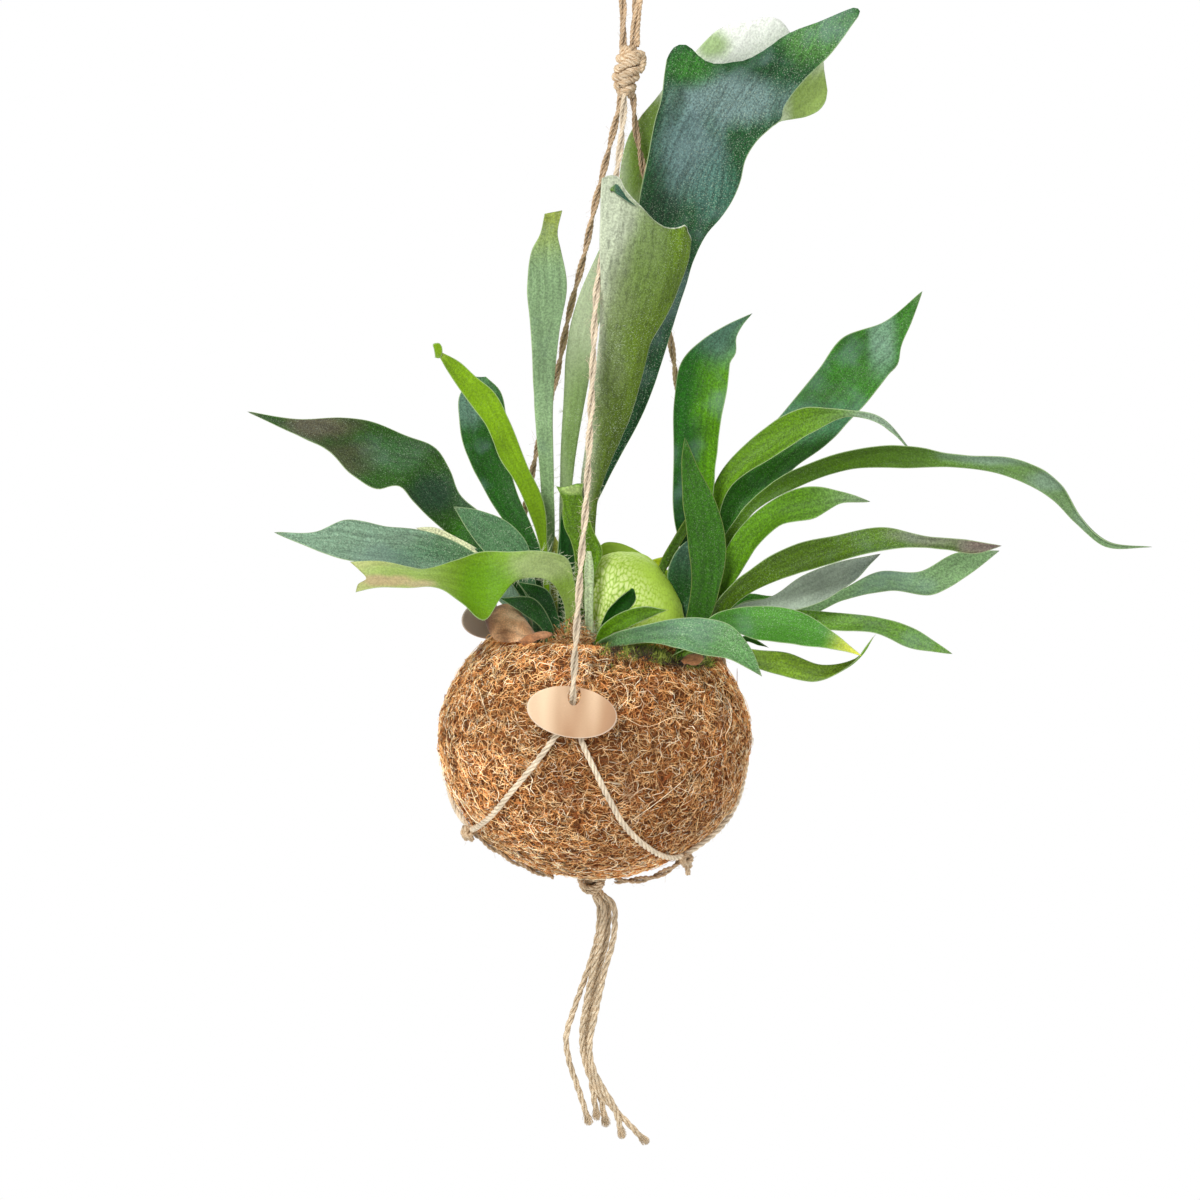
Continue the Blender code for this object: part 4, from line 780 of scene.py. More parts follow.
class Finish:
    """Writes one material's nodes."""

    def __init__(self, name):
        self.material = bpy.data.materials.new(name)
        self.material.use_nodes = True
        self.tree = self.material.node_tree
        self.shader = self.tree.nodes["Principled BSDF"]

    def node(self, kind, **settings):
        """A new node with these settings."""
        made = self.tree.nodes.new(kind)
        for key, value in settings.items():
            setattr(made, key, value)
        return made

    def feed(self, socket, value):
        """Gives a socket another socket's output, a number, or a colour in numbers up to 255."""
        if isinstance(value, bpy.types.NodeSocket):
            self.tree.links.new(value, socket)
        else:
            socket.default_value = linear(value)

    def place(self, kind, scale=(1, 1, 1), turn=(0, 0, 0)):
        """Places on the object or on the pattern's map, stretched and turned."""
        mapping = self.node("ShaderNodeMapping")
        self.feed(mapping.inputs["Vector"], self.node("ShaderNodeTexCoord").outputs[kind])
        mapping.inputs["Scale"].default_value = scale
        mapping.inputs["Rotation"].default_value = turn
        return mapping.outputs["Vector"]

    def value(self, name):
        """A value that make_piece stored for each point."""
        return self.node("ShaderNodeAttribute", attribute_name=name).outputs["Fac"]

    def noise(self, place, scale, detail, roughness=0.55, distortion=0.0):
        """Soft noise from 0 to 1, read at a place."""
        made = self.node("ShaderNodeTexNoise")
        self.feed(made.inputs["Vector"], place)
        numbers = dict(Scale=scale, Detail=detail, Roughness=roughness, Distortion=distortion)
        for key, number in numbers.items():
            made.inputs[key].default_value = number
        return made.outputs["Fac"]

    def calc(self, operation, a, b):
        """What one Math node makes of two sockets or numbers."""
        made = self.node("ShaderNodeMath", operation=operation)
        self.feed(made.inputs[0], a)
        self.feed(made.inputs[1], b)
        return made.outputs[0]

    def times(self, a, b):
        return self.calc("MULTIPLY", a, b)

    def plus(self, a, b):
        return self.calc("ADD", a, b)

    def fade(self, value, low, high, start=0.0, end=1.0):
        """Runs smoothly from start to end as the value goes from low to high."""
        made = self.node("ShaderNodeMapRange", interpolation_type="SMOOTHSTEP")
        self.feed(made.inputs["Value"], value)
        numbers = {"From Min": low, "From Max": high, "To Min": start, "To Max": end}
        for key, number in numbers.items():
            made.inputs[key].default_value = number
        return made.outputs["Result"]

    def ramp(self, value, *stops):
        """Runs through the colours of the stops as the value goes past them."""
        made = self.node("ShaderNodeValToRGB")
        self.feed(made.inputs["Fac"], value)
        marks = made.color_ramp.elements
        while len(marks) < len(stops):
            marks.new(0.5)
        for mark, (position, colour) in zip(marks, stops):
            mark.position = position
            mark.color = linear(colour)
        return made.outputs["Color"]

    def blend(self, share, a, b, kind="MIX"):
        """From colour a at a share of 0 to its mix with colour b at a share of 1."""
        made = self.node("ShaderNodeMix", data_type="RGBA", blend_type=kind)
        self.feed(made.inputs[0], share)
        self.feed(made.inputs[6], a)
        self.feed(made.inputs[7], b)
        return made.outputs[2]

    def mark(self, at, middle, size, uneven):
        """1 inside a soft uneven egg shape, 0 outside it."""
        mapping = self.node("ShaderNodeMapping")
        self.feed(mapping.inputs["Vector"], at)
        scale = [1000 / s for s in size]
        centre = [(m - l) * MM for m, l in zip(middle, LOOP_INSIDE_TOP)]
        mapping.inputs["Scale"].default_value = scale
        mapping.inputs["Location"].default_value = [-c * s for c, s in zip(centre, scale)]
        away = self.node("ShaderNodeVectorMath", operation="LENGTH")
        self.feed(away.inputs[0], mapping.outputs["Vector"])
        return self.fade(self.plus(away.outputs["Value"], self.times(uneven, 0.9)), 1.75, 0.85)

    def shade(self, colour, value, low, high, dark, light):
        """Darkens and lightens a colour as a value goes from low to high."""
        grey = self.fade(value, low, high, dark, light)
        return self.blend(1.0, colour, grey, "MULTIPLY")

    def cloud(self, colour, place, scale, dark, light, detail=3):
        """Darkens and lightens a colour in soft spots."""
        return self.shade(colour, self.noise(place, scale, detail), 0.3, 0.7, dark, light)

    def bump(self, height, distance, strength):
        """A normal tilted as if the surface rose with the height."""
        made = self.node("ShaderNodeBump")
        made.inputs["Distance"].default_value = distance
        made.inputs["Strength"].default_value = strength
        self.feed(made.inputs["Height"], height)
        return made.outputs["Normal"]

    def done(self, colour, roughness, normal=None, **plain):
        """plain sets the shader's own sockets that are the same all over."""
        self.feed(self.shader.inputs["Base Color"], colour)
        self.feed(self.shader.inputs["Roughness"], roughness)
        if normal is not None:
            self.feed(self.shader.inputs["Normal"], normal)
        for key, number in plain.items():
            self.shader.inputs[key.replace("_", " ")].default_value = number
        return self.material


def leaf_finish(
    name, front, back, tip, bloom=0.0, down=0.1, right=None, split=0.5, stem=(118, 152, 56),
    stem_end=0.24, tip_start=0.95, rim=(172, 194, 142), mottle=0.3, flecks=0.0, marks=(),
):
    """A leathery blade: two sides of different green, soft marks of other colours, lengthwise
    streaks, a grey bloom, short white hairs as fine specks, a paler rim, and a tip that dries.
    right is the colour of the right half, from split on. Each mark has a middle and half widths in
    millimetres, a colour and a strength."""
    f = Finish(name)
    at = f.place("Object")
    broad = f.noise(at, 20, 2)
    spots = f.noise(at, 900, 3)
    hairs = f.noise(at, 1700, 1.5)
    uneven = f.noise(f.place("Object", (1, 1, 0.4), (0, 0.45, 0)), 75, 4, 0.6)
    streaks = f.noise(f.place("UV", (420, 26, 1)), 1, 3)
    along = f.value("along")
    near_side = leaf_tint(*front)
    if right:
        place = f.plus(f.value("across"), f.times(f.calc("SUBTRACT", broad, 0.5), 0.9))
        near_side = f.blend(f.fade(place, split - 0.3, split + 0.3), near_side, leaf_tint(*right))
    colour = f.blend(f.value("side"), leaf_tint(*back), near_side)
    colour = f.shade(colour, broad, 0.3, 0.7, 0.76, 1.2)
    colour = f.blend(f.fade(along, 0.02, stem_end, 0.7, 0.0), colour, stem)
    colour = f.blend(f.fade(along, tip_start, 1.0), colour, tip)
    for middle, size, paint, strength in marks:
        place = f.times(f.mark(at, middle, size, uneven), strength)
        colour = f.blend(place, colour, paint)
    colour = f.shade(colour, streaks, 0.3, 0.7, 1 - 0.8 * mottle, 1 + 0.6 * mottle)
    colour = f.shade(colour, spots, 0.34, 0.66, 1 - mottle, 1 + 0.9 * mottle)
    if flecks:
        scattered = f.noise(f.place("Object", (1, 1, 0.5), (0, 0.12, 0)), 520, 3, 0.65)
        colour = f.shade(colour, scattered, 0.36, 0.47, 1 - flecks, 1.0)
    dust = f.fade(f.noise(at, 24, 3, 0.6), 0.5, 0.68, 0.0, bloom)
    dust = f.times(dust, f.fade(along, 0.2, 0.5, 0.2, 1.0))
    colour = f.blend(dust, colour, (124, 150, 150))
    specks = f.times(f.fade(hairs, 0.56, 0.7, 0.0, down), f.fade(broad, 0.3, 0.65, 0.3, 1.0))
    colour = f.blend(specks, colour, (204, 222, 190))
    colour = f.blend(f.times(f.value("rim"), 0.7), colour, rim)
    height = f.plus(f.times(streaks, 0.8), f.plus(spots, f.times(hairs, 0.5)))
    rough = f.fade(dust, 0.0, 0.5, 0.42, 0.62)
    return f.done(colour, rough, f.bump(height, 0.0005, 0.6), Specular_IOR_Level=0.2)


def frond_grid(shape, rows, across):
    """A blade's middle surface: straight between its two edges, drawn out to the shape of its far
    end, hollowed by cup and waved by ripple, row by row from its base."""
    x, y = shape["base"]
    stem = np.array([(x, y, shape.get("foot", soil_height(x) + 0.7)), *shape.get("neck", ())])
    half = np.array([shape.get("width", BASE_WIDTH) / 2, 0, 0])
    tip = [shape["tip"]] if "tip" in shape else []
    left = smooth_curve([*(stem - half), *shape["left"], *tip], rows)[:, None]
    right = smooth_curve([*(stem + half), *shape["right"], *tip], rows)[:, None]
    across = across[None, :, None]
    along = np.linspace(0, 1, rows)[:, None, None]
    grid = left * (1 - across) + right * across
    if "end" in shape:
        end = [shape["left"][-1], *shape["end"], shape["right"][-1]]
        drawn = smooth_curve(end, across[0, :, 0])[None] - grid[-1:]
        grid = grid + drawn * np.clip((along - 0.55) / 0.45, 0, 1) ** 2
    width = np.linalg.norm(right - left, axis=2, keepdims=True)
    facing = unit(np.cross(np.gradient(grid, axis=0), right - left + 1e-9))
    facing *= np.sign(-facing[:, :, 1:2].mean()) * width / width.max()
    side = 2 * across - 1
    hollow = shape["cup"] * (1 - side**2)
    wave = shape.get("ripple", 0) * side * abs(side) * np.sin(1.5 * FULL_TURN * along + x)
    return grid + facing * (wave - hollow)


def leaf_surfaces(shape, columns, step=2.2, seed=0, relief=None):
    """A blade with two faces and a rounded rim: the middle surface moved half the thickness each
    way along its normal, the thickness thinning to the edges, with small dents. relief gives a
    height to add to both faces."""
    across = 0.5 - 0.5 * np.cos(math.pi * np.arange(columns) / (columns - 1))
    rough = frond_grid(shape, 40, across)
    rows = int(np.clip(run_length(rough[:, columns // 2])[-1] / step, 36, 150))
    grid = frond_grid(shape, rows, across)
    side = (2 * across - 1)[None, :, None]
    along = np.linspace(0, 1, rows)
    normal = unit(np.cross(np.gradient(grid, axis=0), np.gradient(grid, axis=1) + 1e-9))
    normal *= np.sign(-normal[:, :, 1].mean() + 1e-9)
    dents = 0.35 * soft_noise(grid, 16, seed)
    dents = dents + 0.5 * side[..., 0] ** 4 * soft_noise(grid, 9, seed + 1)
    fading = np.clip(along * 8, 0, 1)[:, None] * np.clip((1 - along) * 12, 0, 1)[:, None]
    grid = grid + normal * (dents * fading)[..., None]
    stalk = 1 + 1.5 * np.exp(-along / 0.05)[:, None, None]
    half = LEAF_THICKNESS / 2 * (1 - 0.62 * side**8) * stalk
    half = half * np.clip((1 - along) * 14, 0.25, 1)[:, None, None]
    lift = 0 if relief is None else relief(grid, across, along)[..., None]
    front = grid + normal * (half + lift)
    back = grid - normal * (half - lift)
    edge = 0.28 * stalk
    left = grid[:, :1] + unit(grid[:, :1] - grid[:, 1:2]) * edge
    right = grid[:, -1:] + unit(grid[:, -1:] - grid[:, -2:-1]) * edge
    points = np.concatenate([front, right, back[:, ::-1], left], axis=1)
    # The pattern's map is the blade laid flat, in metres
    width = np.linalg.norm(grid[:, -1] - grid[:, 0], axis=1)
    run = np.broadcast_to(run_length(grid[:, columns // 2])[:, None], grid.shape[:2])
    flat = np.stack([(across[None] - 0.5) * width[:, None], run], -1) * MM
    flat = np.concatenate([flat, flat[:, -1:], flat[:, ::-1], flat[:, :1]], axis=1)
    edges = np.where(np.abs(side[0, :, 0]) > 0.985, 0.8, 0.0)
    ring_values = dict(
        side=np.concatenate([np.ones(columns), [0.5], np.zeros(columns), [0.5]]),
        rim=np.concatenate([edges, [1], edges, [1]]),
        across=np.concatenate([across, [1], across[::-1], [0]]),
    )
    # The end strips run across the blade's thickness, so that a hollow end stays hollow
    ring = 2 * columns + 2
    k, last = np.arange(columns - 1), (rows - 1) * ring
    strip = np.stack([k, k + 1, 2 * columns - k - 1, 2 * columns - k], -1)
    corner = np.array([(columns - 1, columns, columns + 1), (2 * columns, 2 * columns + 1, 0)])
    quads = np.concatenate([grid_faces(rows, ring), strip[:, ::-1], strip + last])
    triangles = np.concatenate([corner[:, ::-1], corner + last])
    faces = outward(points.reshape(-1, 3), [quads, triangles])
    corners = np.concatenate([g.ravel() for g in faces])
    return dict(
        points=points, faces=faces, uv=flat.reshape(-1, 2)[corners],
        along=np.broadcast_to(along[:, None], (rows, ring)),
        **{key: np.broadcast_to(value, (rows, ring)) for key, value in ring_values.items()},
    )


def outward(points, faces):
    """Turns a closed surface's faces round if the volume that they enclose comes out negative."""
    quads = points[faces[0]]
    volume = np.einsum("ij,ij->i", quads[:, 0], np.cross(quads[:, 1], quads[:, 2])).sum()
    volume += np.einsum("ij,ij->i", quads[:, 0], np.cross(quads[:, 2], quads[:, 3])).sum()
    return faces if volume > 0 else [f[:, ::-1] for f in faces]


def make_fronds():
    """The fronds' blades. Those with a shaped end have more columns."""
    for number, (name, shape) in enumerate(FRONDS.items()):
        columns = SHAPED_END_COLUMNS if "end" in shape else PLAIN_COLUMNS
        surfaces = leaf_surfaces(shape, columns, seed=10 * number)
        finish, slot = leaf_finish(name + "_skin", **shape["look"]), frame_slot(name)
        make_piece(name + "_blade", finish=finish, slot=slot, replaced=(name,), **surfaces)


def make_small_leaves():
    """The small blades and stubs among the stems, and the dry scraps."""
    for number, (name, shape) in enumerate(SMALL_LEAVES.items()):
        surfaces = leaf_surfaces(shape, SMALL_COLUMNS, 2.0, 700 + number)
        finish = leaf_finish(name + "_skin", **shape["look"])
        make_piece(name, finish=finish, slot="dark_leaf", **surfaces)
    for number, (name, shape) in enumerate(DRY_SCRAPS.items()):
        surfaces = leaf_surfaces(shape, SMALL_COLUMNS, 1.5, 730 + number)
        finish = husk_finish(name + "_skin", 0.66, 0.6)
        make_piece(name, finish=finish, slot="dry_leaf", **surfaces)


def frame_slot(node):
    """The material slot that the part's record gives a node."""
    return next(s["material_slot"] for s in frame["record"]["subparts"] if s["node"] == node)


def puffed_cells(points, size, seed):
    """How far each point of a flat pattern lies from the lines between cells, as a share of the
    cells' size: the second nearest of a jittered lattice of seeds less the nearest."""
    scaled = points / size
    corner = np.floor(scaled)
    near = np.full(points.shape[:-1], 9.0)
    second = near.copy()
    for step in np.ndindex(3, 3):
        c = corner + np.array(step) - 1
        lattice = np.concatenate([c, 0 * c[..., :1]], -1)
        jitter = np.stack([soft_noise(lattice, 1, seed), soft_noise(lattice, 1, seed + 1)], -1)
        away = np.linalg.norm(c + 0.5 + 0.42 * jitter - scaled, axis=-1)
        second = np.minimum(second, np.maximum(near, away))
        near = np.minimum(near, away)
    return second - near


def make_shields():
    """The round leaves at the foot. The green one is puffed up between a fine net of veins."""
    cells = {}

    def puffs(grid, across, along):
        """Lifts each cell of the net above the lines round it."""
        flat = np.stack(np.broadcast_arrays(across[None] * 52, along[:, None] * 60), -1)
        flat = flat + 1.3 * np.stack([soft_noise(grid, 6, 5), soft_noise(grid, 6, 6)], -1)
        cells["puff"] = np.clip(puffed_cells(flat * (1, 0.8), 1.8, 3) / 0.42, 0, 1)
        return 0.16 * cells["puff"] ** 0.6

    for name, shape in SHIELDS.items():
        fine = name == "shield_green"
        detail = (NET_COLUMNS, 0.42, 400, puffs) if fine else (25, 1.6, 400)
        surfaces = leaf_surfaces(shape, *detail)
        puff = np.zeros(surfaces["side"].shape)
        if fine:
            puff[:, :NET_COLUMNS] = cells["puff"]
            puff[:, NET_COLUMNS + 1 : -1] = cells["puff"][:, ::-1]
        look = shape["look"]
        finish = shield_finish(name + "_skin", **look) if look else husk_finish("husk")
        make_piece(
            name + "_leaf", finish=finish, slot=frame_slot(name), replaced=(name,), puff=puff,
            **surfaces,
        )


def shield_finish(name, top, pale, line):
    """A young round leaf: smooth yellow-green above, a little darker in the net's grooves as
    painted shade; below, whitish puffed cells, partly a painted highlight, with greener lines
    between them."""
    f = Finish(name)
    at = f.place("Object")
    puff = f.value("puff")
    # The cells' whitish tops are partly a painted highlight on the puffs; the greener lines are the
    # veins' own colour
    cells = f.ramp(puff, (0.0, line), (0.3, top), (0.9, pale))
    # Painted shade and highlight: darker in the net's grooves, lighter on the puffs
    plain = f.shade(top, puff, 0.0, 0.5, 0.86, 1.05)
    low = f.mark(at, (4, -14, 74), (27, 60, 33), f.noise(at, 60, 3))
    colour = f.blend(low, plain, cells)
    colour = f.cloud(colour, at, 30, 0.9, 1.12, 2)
    colour = f.cloud(colour, at, 700, 0.94, 1.06)
    colour = f.blend(f.times(f.value("rim"), 0.7), colour, (220, 232, 150))
    return f.done(colour, 0.42, f.bump(f.noise(at, 900, 3), 0.0003, 0.4), Specular_IOR_Level=0.3)


def husk_finish(name, bright=1.0, orange=0.0):
    """A dry leaf: reddish tan felt with fine hairs and creases darkened as painted shade, darker
    towards its far end.
    """
    f = Finish(name)
    at = f.place("Object")
    colour = f.ramp(
        f.noise(at, 70, 4), (0.3, (150, 100, 60)), (0.5, (206, 156, 110)),
        (0.7, (236, 198, 156)),
    )
    colour = f.blend(orange, colour, (196, 116, 52))
    crease_shade = f.noise(f.place("Object", (1, 1, 3)), 160, 4, 0.6)
    # Painted shade in the creases
    colour = f.shade(colour, crease_shade, 0.36, 0.5, 0.7, 1.05)
    colour = f.shade(colour, f.noise(at, 1300, 2), 0.35, 0.7, 0.8 * bright, 1.2 * bright)
    colour = f.blend(f.fade(f.value("along"), 0.8, 1.0), colour, (90, 52, 30))
    return f.done(colour, 0.8, f.bump(f.noise(at, 900, 3), 0.0004, 0.6), Sheen_Weight=0.2)


def coir_finish(name, bright=1.0):
    """Coconut fibre: each fibre has its own tone from dark brown to straw, a little uneven along,
    with redder areas, dark patches of painted shade for the holes between fibres, and dark red
    painted shade over the right side of the ball."""
    f = Finish(name)
    at = f.place("Object")
    colour = f.ramp(
        f.plus(f.value("tone"), f.times(f.noise(at, 60, 3), 0.3)), (0.06, (60, 26, 12)),
        (0.26, (158, 92, 44)), (0.5, (224, 160, 92)), (0.76, (250, 214, 156)),
        (1.0, (254, 240, 208)),
    )
    colour = f.shade(colour, f.noise(at, 22, 3), 0.32, 0.68, 1.14 * bright, 1.6 * bright)
    # Painted shade: dark patches across the fibres stand for the holes between them
    colour = f.shade(colour, f.noise(at, 260, 4, 0.65), 0.34, 0.52, 0.5, 1.1)
    # Painted shade: the right side of the ball, away from the key light, is darkened and reddened
    darker = f.mark(at, (34, -60, -6), (74, 140, 66), f.noise(at, 40, 2))
    colour = f.blend(f.times(darker, 0.3), colour, (126, 58, 4))
    colour = f.blend(f.fade(f.noise(at, 34, 2), 0.6, 0.68, 0.0, 0.4), colour, (150, 78, 40))
    return f.done(colour, 0.78, Specular_IOR_Level=0.25)


def mat_finish():
    """The felted layer under the loose fibres: short tangled fibre marks, with dark gaps between
    them that are painted shade.
    """
    f = Finish("coir_mat")
    at = f.place("Object")
    warped = f.noise(at, 900, 4, 0.65, 2.5)
    strands = f.noise(f.place("Object", (1, 1, 1.7), (0.4, 0.9, 0.2)), 520, 4, 0.6, 3.5)
    marks = f.plus(f.times(warped, 0.5), f.times(strands, 0.5))
    # The darkest colour, in the gaps between the fibre marks, is painted shade
    colour = f.ramp(
        marks, (0.36, (40, 20, 10)), (0.5, (118, 70, 34)), (0.64, (196, 138, 80)),
    )
    colour = f.cloud(colour, at, 24, 0.75, 1.15)
    return f.done(colour, 0.9, f.bump(marks, 0.0012, 0.9))


def make_coir_body():
    """The shell: its outer face from the bottom up to the rim, over a rounded rim, and down its
    inner face, pushed in and out by soft noise, with both bottoms closed at a point."""
    turns, outer_rows, inner_rows = 220, 130, 40
    turn = np.linspace(0, FULL_TURN, turns, endpoint=False)[None]
    rim_swing = np.arccos(-rim_height(turn) / BALL_HALF_HEIGHT)
    outer = np.linspace(0.004, 1, outer_rows)[:, None]
    inner = np.linspace(1, 0.01, inner_rows)[:, None]
    height = -BALL_HALF_HEIGHT * np.cos(rim_swing * np.concatenate([outer, inner]))
    depth = np.repeat([-1.3, 0.2 - BALL_WALL], [outer_rows, inner_rows])[:, None]
    points = ball_point(turn, height, depth)
    outer_edge, inner_edge = points[outer_rows - 1], points[outer_rows]
    over = np.linspace(0, math.pi, 9)[1:-1, None, None]
    crest = (outer_edge + inner_edge) / 2 + (outer_edge - inner_edge) / 2 * np.cos(over)
    crest = crest + UP * np.sin(over) * 2.2
    points = dented(np.concatenate([points[:outer_rows], crest, points[outer_rows:]]))
    make_round("coir_felt", points, mat_finish(), "coir", "coir_shell")


def make_round(name, rings, finish, slot, replaced, **values):
    """A piece from rings of points, joined one after the other and closed at both ends."""
    rows, turns = rings.shape[:2]
    points = rings.reshape(-1, 3)
    ends = np.stack([np.arange(turns)[::-1], (rows - 1) * turns + np.arange(turns)])
    faces = outward(points, [grid_faces(rows, turns), ends])
    make_piece(name, points, faces, finish, slot, replaced=(replaced,), **values)


def dented(lines):
    """Lines or points near the ball moved in and out with its hollows and lumps."""
    dents = 0.9 * soft_noise(lines, 7, 1) + 0.45 * soft_noise(lines, 2.6, 2)
    return lines + unit(lines * (1, 1, 1.2)) * dents[..., None]


def fibre_lines(count, seed, steps, size):
    """Loose fibres on the ball: each runs from a random place in a random direction along the
    round surface, bends to one side, and rises from the felt and dips back into it."""
    rng = np.random.default_rng(seed)
    start = unit(rng.normal(size=(count, 3)))
    start[:, 2] = np.clip(start[:, 2], -1, 0.8)
    frame_a = unit(np.cross(start, UP) + 1e-6)
    frame_b = np.cross(start, frame_a)
    heading = rng.uniform(0, FULL_TURN, (count, 1))
    ahead = frame_a * np.cos(heading) + frame_b * np.sin(heading)
    aside = np.cross(start, ahead)
    length = rng.gamma(4.0, size, (count, 1, 1)).clip(3.5, 13 * size) / BALL_RADIUS
    bend = rng.normal(0, 0.36, (count, 1, 1)) * length
    wiggle = rng.normal(0, 0.1, (count, 1, 1)) * length
    s = np.linspace(-0.5, 0.5, steps)[:, None]
    way = start[:, None] + ahead[:, None] * length * s
    way = unit(way + aside[:, None] * (bend * s**2 * 2 + wiggle * np.sin(7 * s)))
    turn = np.arctan2(way[..., 1], way[..., 0])
    height = way[..., 2] * BALL_HALF_HEIGHT
    high = rng.uniform(-1.2, 0.3, count)
    high = high + (rng.random(count) > 0.96) * rng.uniform(0.3, 1.5, count)
    arch = rng.uniform(0.1, 0.9, (count, 1))
    lines = dented(ball_point(turn, height, high[:, None] + arch * (1 - 4 * s[:, 0] ** 2)))
    low_enough = (height < rim_height(turn) + 0.5).all(axis=1)
    # Each fibre's own random tone, made darker for fibres that lie deeper in the mat: painted shade
    tone = np.clip(rng.normal(0.44, 0.26, count) + 0.24 * high, 0.0, 0.97)
    thick = rng.uniform(0.11, 0.25, count) + (rng.random(count) > 0.97) * 0.14
    return lines[low_enough], tone[low_enough], thick[low_enough]


def make_fibres():
    """The loose fibres, thinner at both ends, with longer ones in the first layer."""
    finish = coir_finish("coir_fibre")
    for number in range(FIBRE_LAYERS):
        size = 1.5 if number else 2.6
        lines, tone, thick = fibre_lines(FIBRES_PER_LAYER, 50 + number, 4, size)
        radii = thick[:, None] * (0.5, 1, 1, 0.4)
        make_strands(f"coir_fibres_{number + 1}", lines, radii, finish, "coir", tone)


def make_rim_fibres():
    """Fibres that lie across the open edge: up the outer face, over the rim and down inside."""
    rng = np.random.default_rng(77)
    each = (RIM_FIBRES, 1)
    s = np.linspace(-1, 1, 7)
    turn = rng.uniform(0, FULL_TURN, each) + s * rng.normal(0, 0.05, each)
    shift = rng.uniform(-0.7, 0.7, each)
    cross = np.clip(s * rng.uniform(0.4, 1.1, each) + shift, -1.7, 1.7)
    lift = rng.uniform(-0.6, 1.1, each)
    height = rim_height(turn) + 2.2 + lift - 2.6 * np.abs(cross) ** 2.2
    depth = lift * 0.2 - BALL_WALL / 2 * (1 + np.clip(cross, -1.15, 1.15))
    lines = ball_point(turn, np.minimum(height, rim_height(turn)), depth)
    lines[..., 2] += np.maximum(0, height - rim_height(turn))
    tone = np.clip(rng.normal(0.36, 0.18, RIM_FIBRES), 0.02, 0.95)
    radii = rng.uniform(0.13, 0.26, each) * (0.4, 1, 1, 1, 1, 1, 0.3)
    make_strands("coir_rim_fibres", lines, radii, coir_finish("coir_rim_fibre", 0.92), "coir", tone)


def make_strays():
    """Long pale fibres that lie loose on the ball, one that hangs on its front and a dark one
    beside it, and then the flakes."""
    steps = 9
    lines, _, _ = fibre_lines(STRAY_FIBRES, 901, steps, 4.2)
    centre = lines.mean(axis=1, keepdims=True)
    lines = centre + (lines - centre) * 1.4
    turn, height = np.arctan2(lines[..., 1], lines[..., 0]), lines[..., 2].clip(-72, 46)
    rng = np.random.default_rng(9)
    s = np.linspace(-1, 1, steps)
    each = (len(lines), 1)
    lift = rng.uniform(0.1, 1.2, each) + rng.uniform(0, 1.6, each) * (1 - s**2)
    hung = ball_point(np.radians(np.linspace(-55, -75, steps)), np.linspace(-6, -30, steps), 1.4)
    hung = hung + 0.5 * np.sin(np.arange(steps))[:, None]
    beside = np.linspace((75.9, -20, 46.3), (76.6, -20, 28.7), steps)
    lines = np.concatenate([ball_point(turn, height, lift), hung[None], beside[None]])
    tone = np.concatenate([rng.uniform(0.5, 0.95, each[0]), [1.0, 0.0]])
    radii = 0.2 * np.array([0.4, 1, 1, 1, 1, 1, 1, 1, 0.3])
    make_strands("coir_strays", lines, radii, coir_finish("coir_stray", 1.1), "coir", tone)
    make_flakes(rng)


def make_flakes(rng):
    """Flat dark flakes of husk between the fibres: six-sided plates that lie along the ball."""
    count, sides = HUSK_FLAKES, 6
    way = unit(rng.normal(size=(count, 3)))
    turn = np.arctan2(way[:, 1], way[:, 0])
    place = ball_point(turn, way[:, 2].clip(-0.9, 0.62) * BALL_HALF_HEIGHT, -0.2)
    face = unit(place * (1, 1, 1.2))
    ahead = unit(np.cross(face, rng.normal(size=(count, 3))))
    aside = np.cross(face, ahead)
    long = rng.gamma(3.0, 0.6, (count, 1, 1)).clip(0.7, 4.2)
    wide = rng.uniform(0.5, 1.3, (count, 1, 1))
    outline = np.array([(-1, -0.6), (-0.3, -1), (0.8, -0.7), (1, 0.3), (0.2, 1), (-0.8, 0.7)])
    rim = place[:, None] + ahead[:, None] * outline[:, :1] * long
    rim = rim + aside[:, None] * outline[:, 1:] * wide
    points = np.stack([rim - face[:, None] * 0.8, rim + face[:, None] * 0.55], 1).reshape(-1, 3)
    base = (np.arange(count) * 2 * sides)[:, None]
    k = np.arange(sides)
    after = (k + 1) % sides
    walls = np.stack([k, after, sides + after, sides + k], -1)[None] + base[..., None]
    caps = np.stack([base + sides + k, base + k[::-1]], 1).reshape(-1, sides)
    tone = np.repeat(rng.uniform(0.0, 0.22, count), 2 * sides)
    faces = outward(points, [walls.reshape(-1, 4), caps])
    make_piece("coir_flakes", points, faces, coir_finish("coir_flake", 0.55), "coir", tone=tone)


def make_stem_hairs():
    """Short pale hairs that stand off the edges of the young stems near the ball."""
    rng = np.random.default_rng(5)
    lines = []
    for name, number in STEM_HAIRS.items():
        grid = frond_grid(FRONDS[name], 60, np.linspace(0, 1, 9))
        row = rng.integers(2, 26, number)
        side = rng.integers(0, 2, number)
        root = grid[row, 8 * side]
        way = unit(root - grid[row, 4]) + rng.normal(0, 0.45, (number, 3)) + (0, -0.3, 0.25)
        s = np.linspace(0, 1, 4)[:, None]
        length = rng.gamma(3, 0.6, (number, 1, 1)).clip(0.7, 3.4)
        curl = rng.normal(0, 0.25, (number, 1, 3))
        lines.append(root[:, None] + length * (way[:, None] * s + curl * s**2))
    finish = Finish("stem_hairs").done((214, 220, 186), 0.7)
    make_strands("stem_hairs", np.concatenate(lines), 0.06, finish, "pale_leaf")


def moss_finish():
    """Moss from dead brown to fresh green, by each sprig's tone."""
    f = Finish("moss")
    colour = f.ramp(
        f.value("tone"), (0.05, (44, 30, 14)), (0.3, (92, 68, 28)),
        (0.45, (84, 94, 26)), (0.7, (138, 156, 48)), (0.95, (194, 200, 92)),
    )
    colour = f.cloud(colour, f.place("Object"), 200, 0.7, 1.25)
    return f.done(colour, 0.8, Sheen_Weight=0.1)


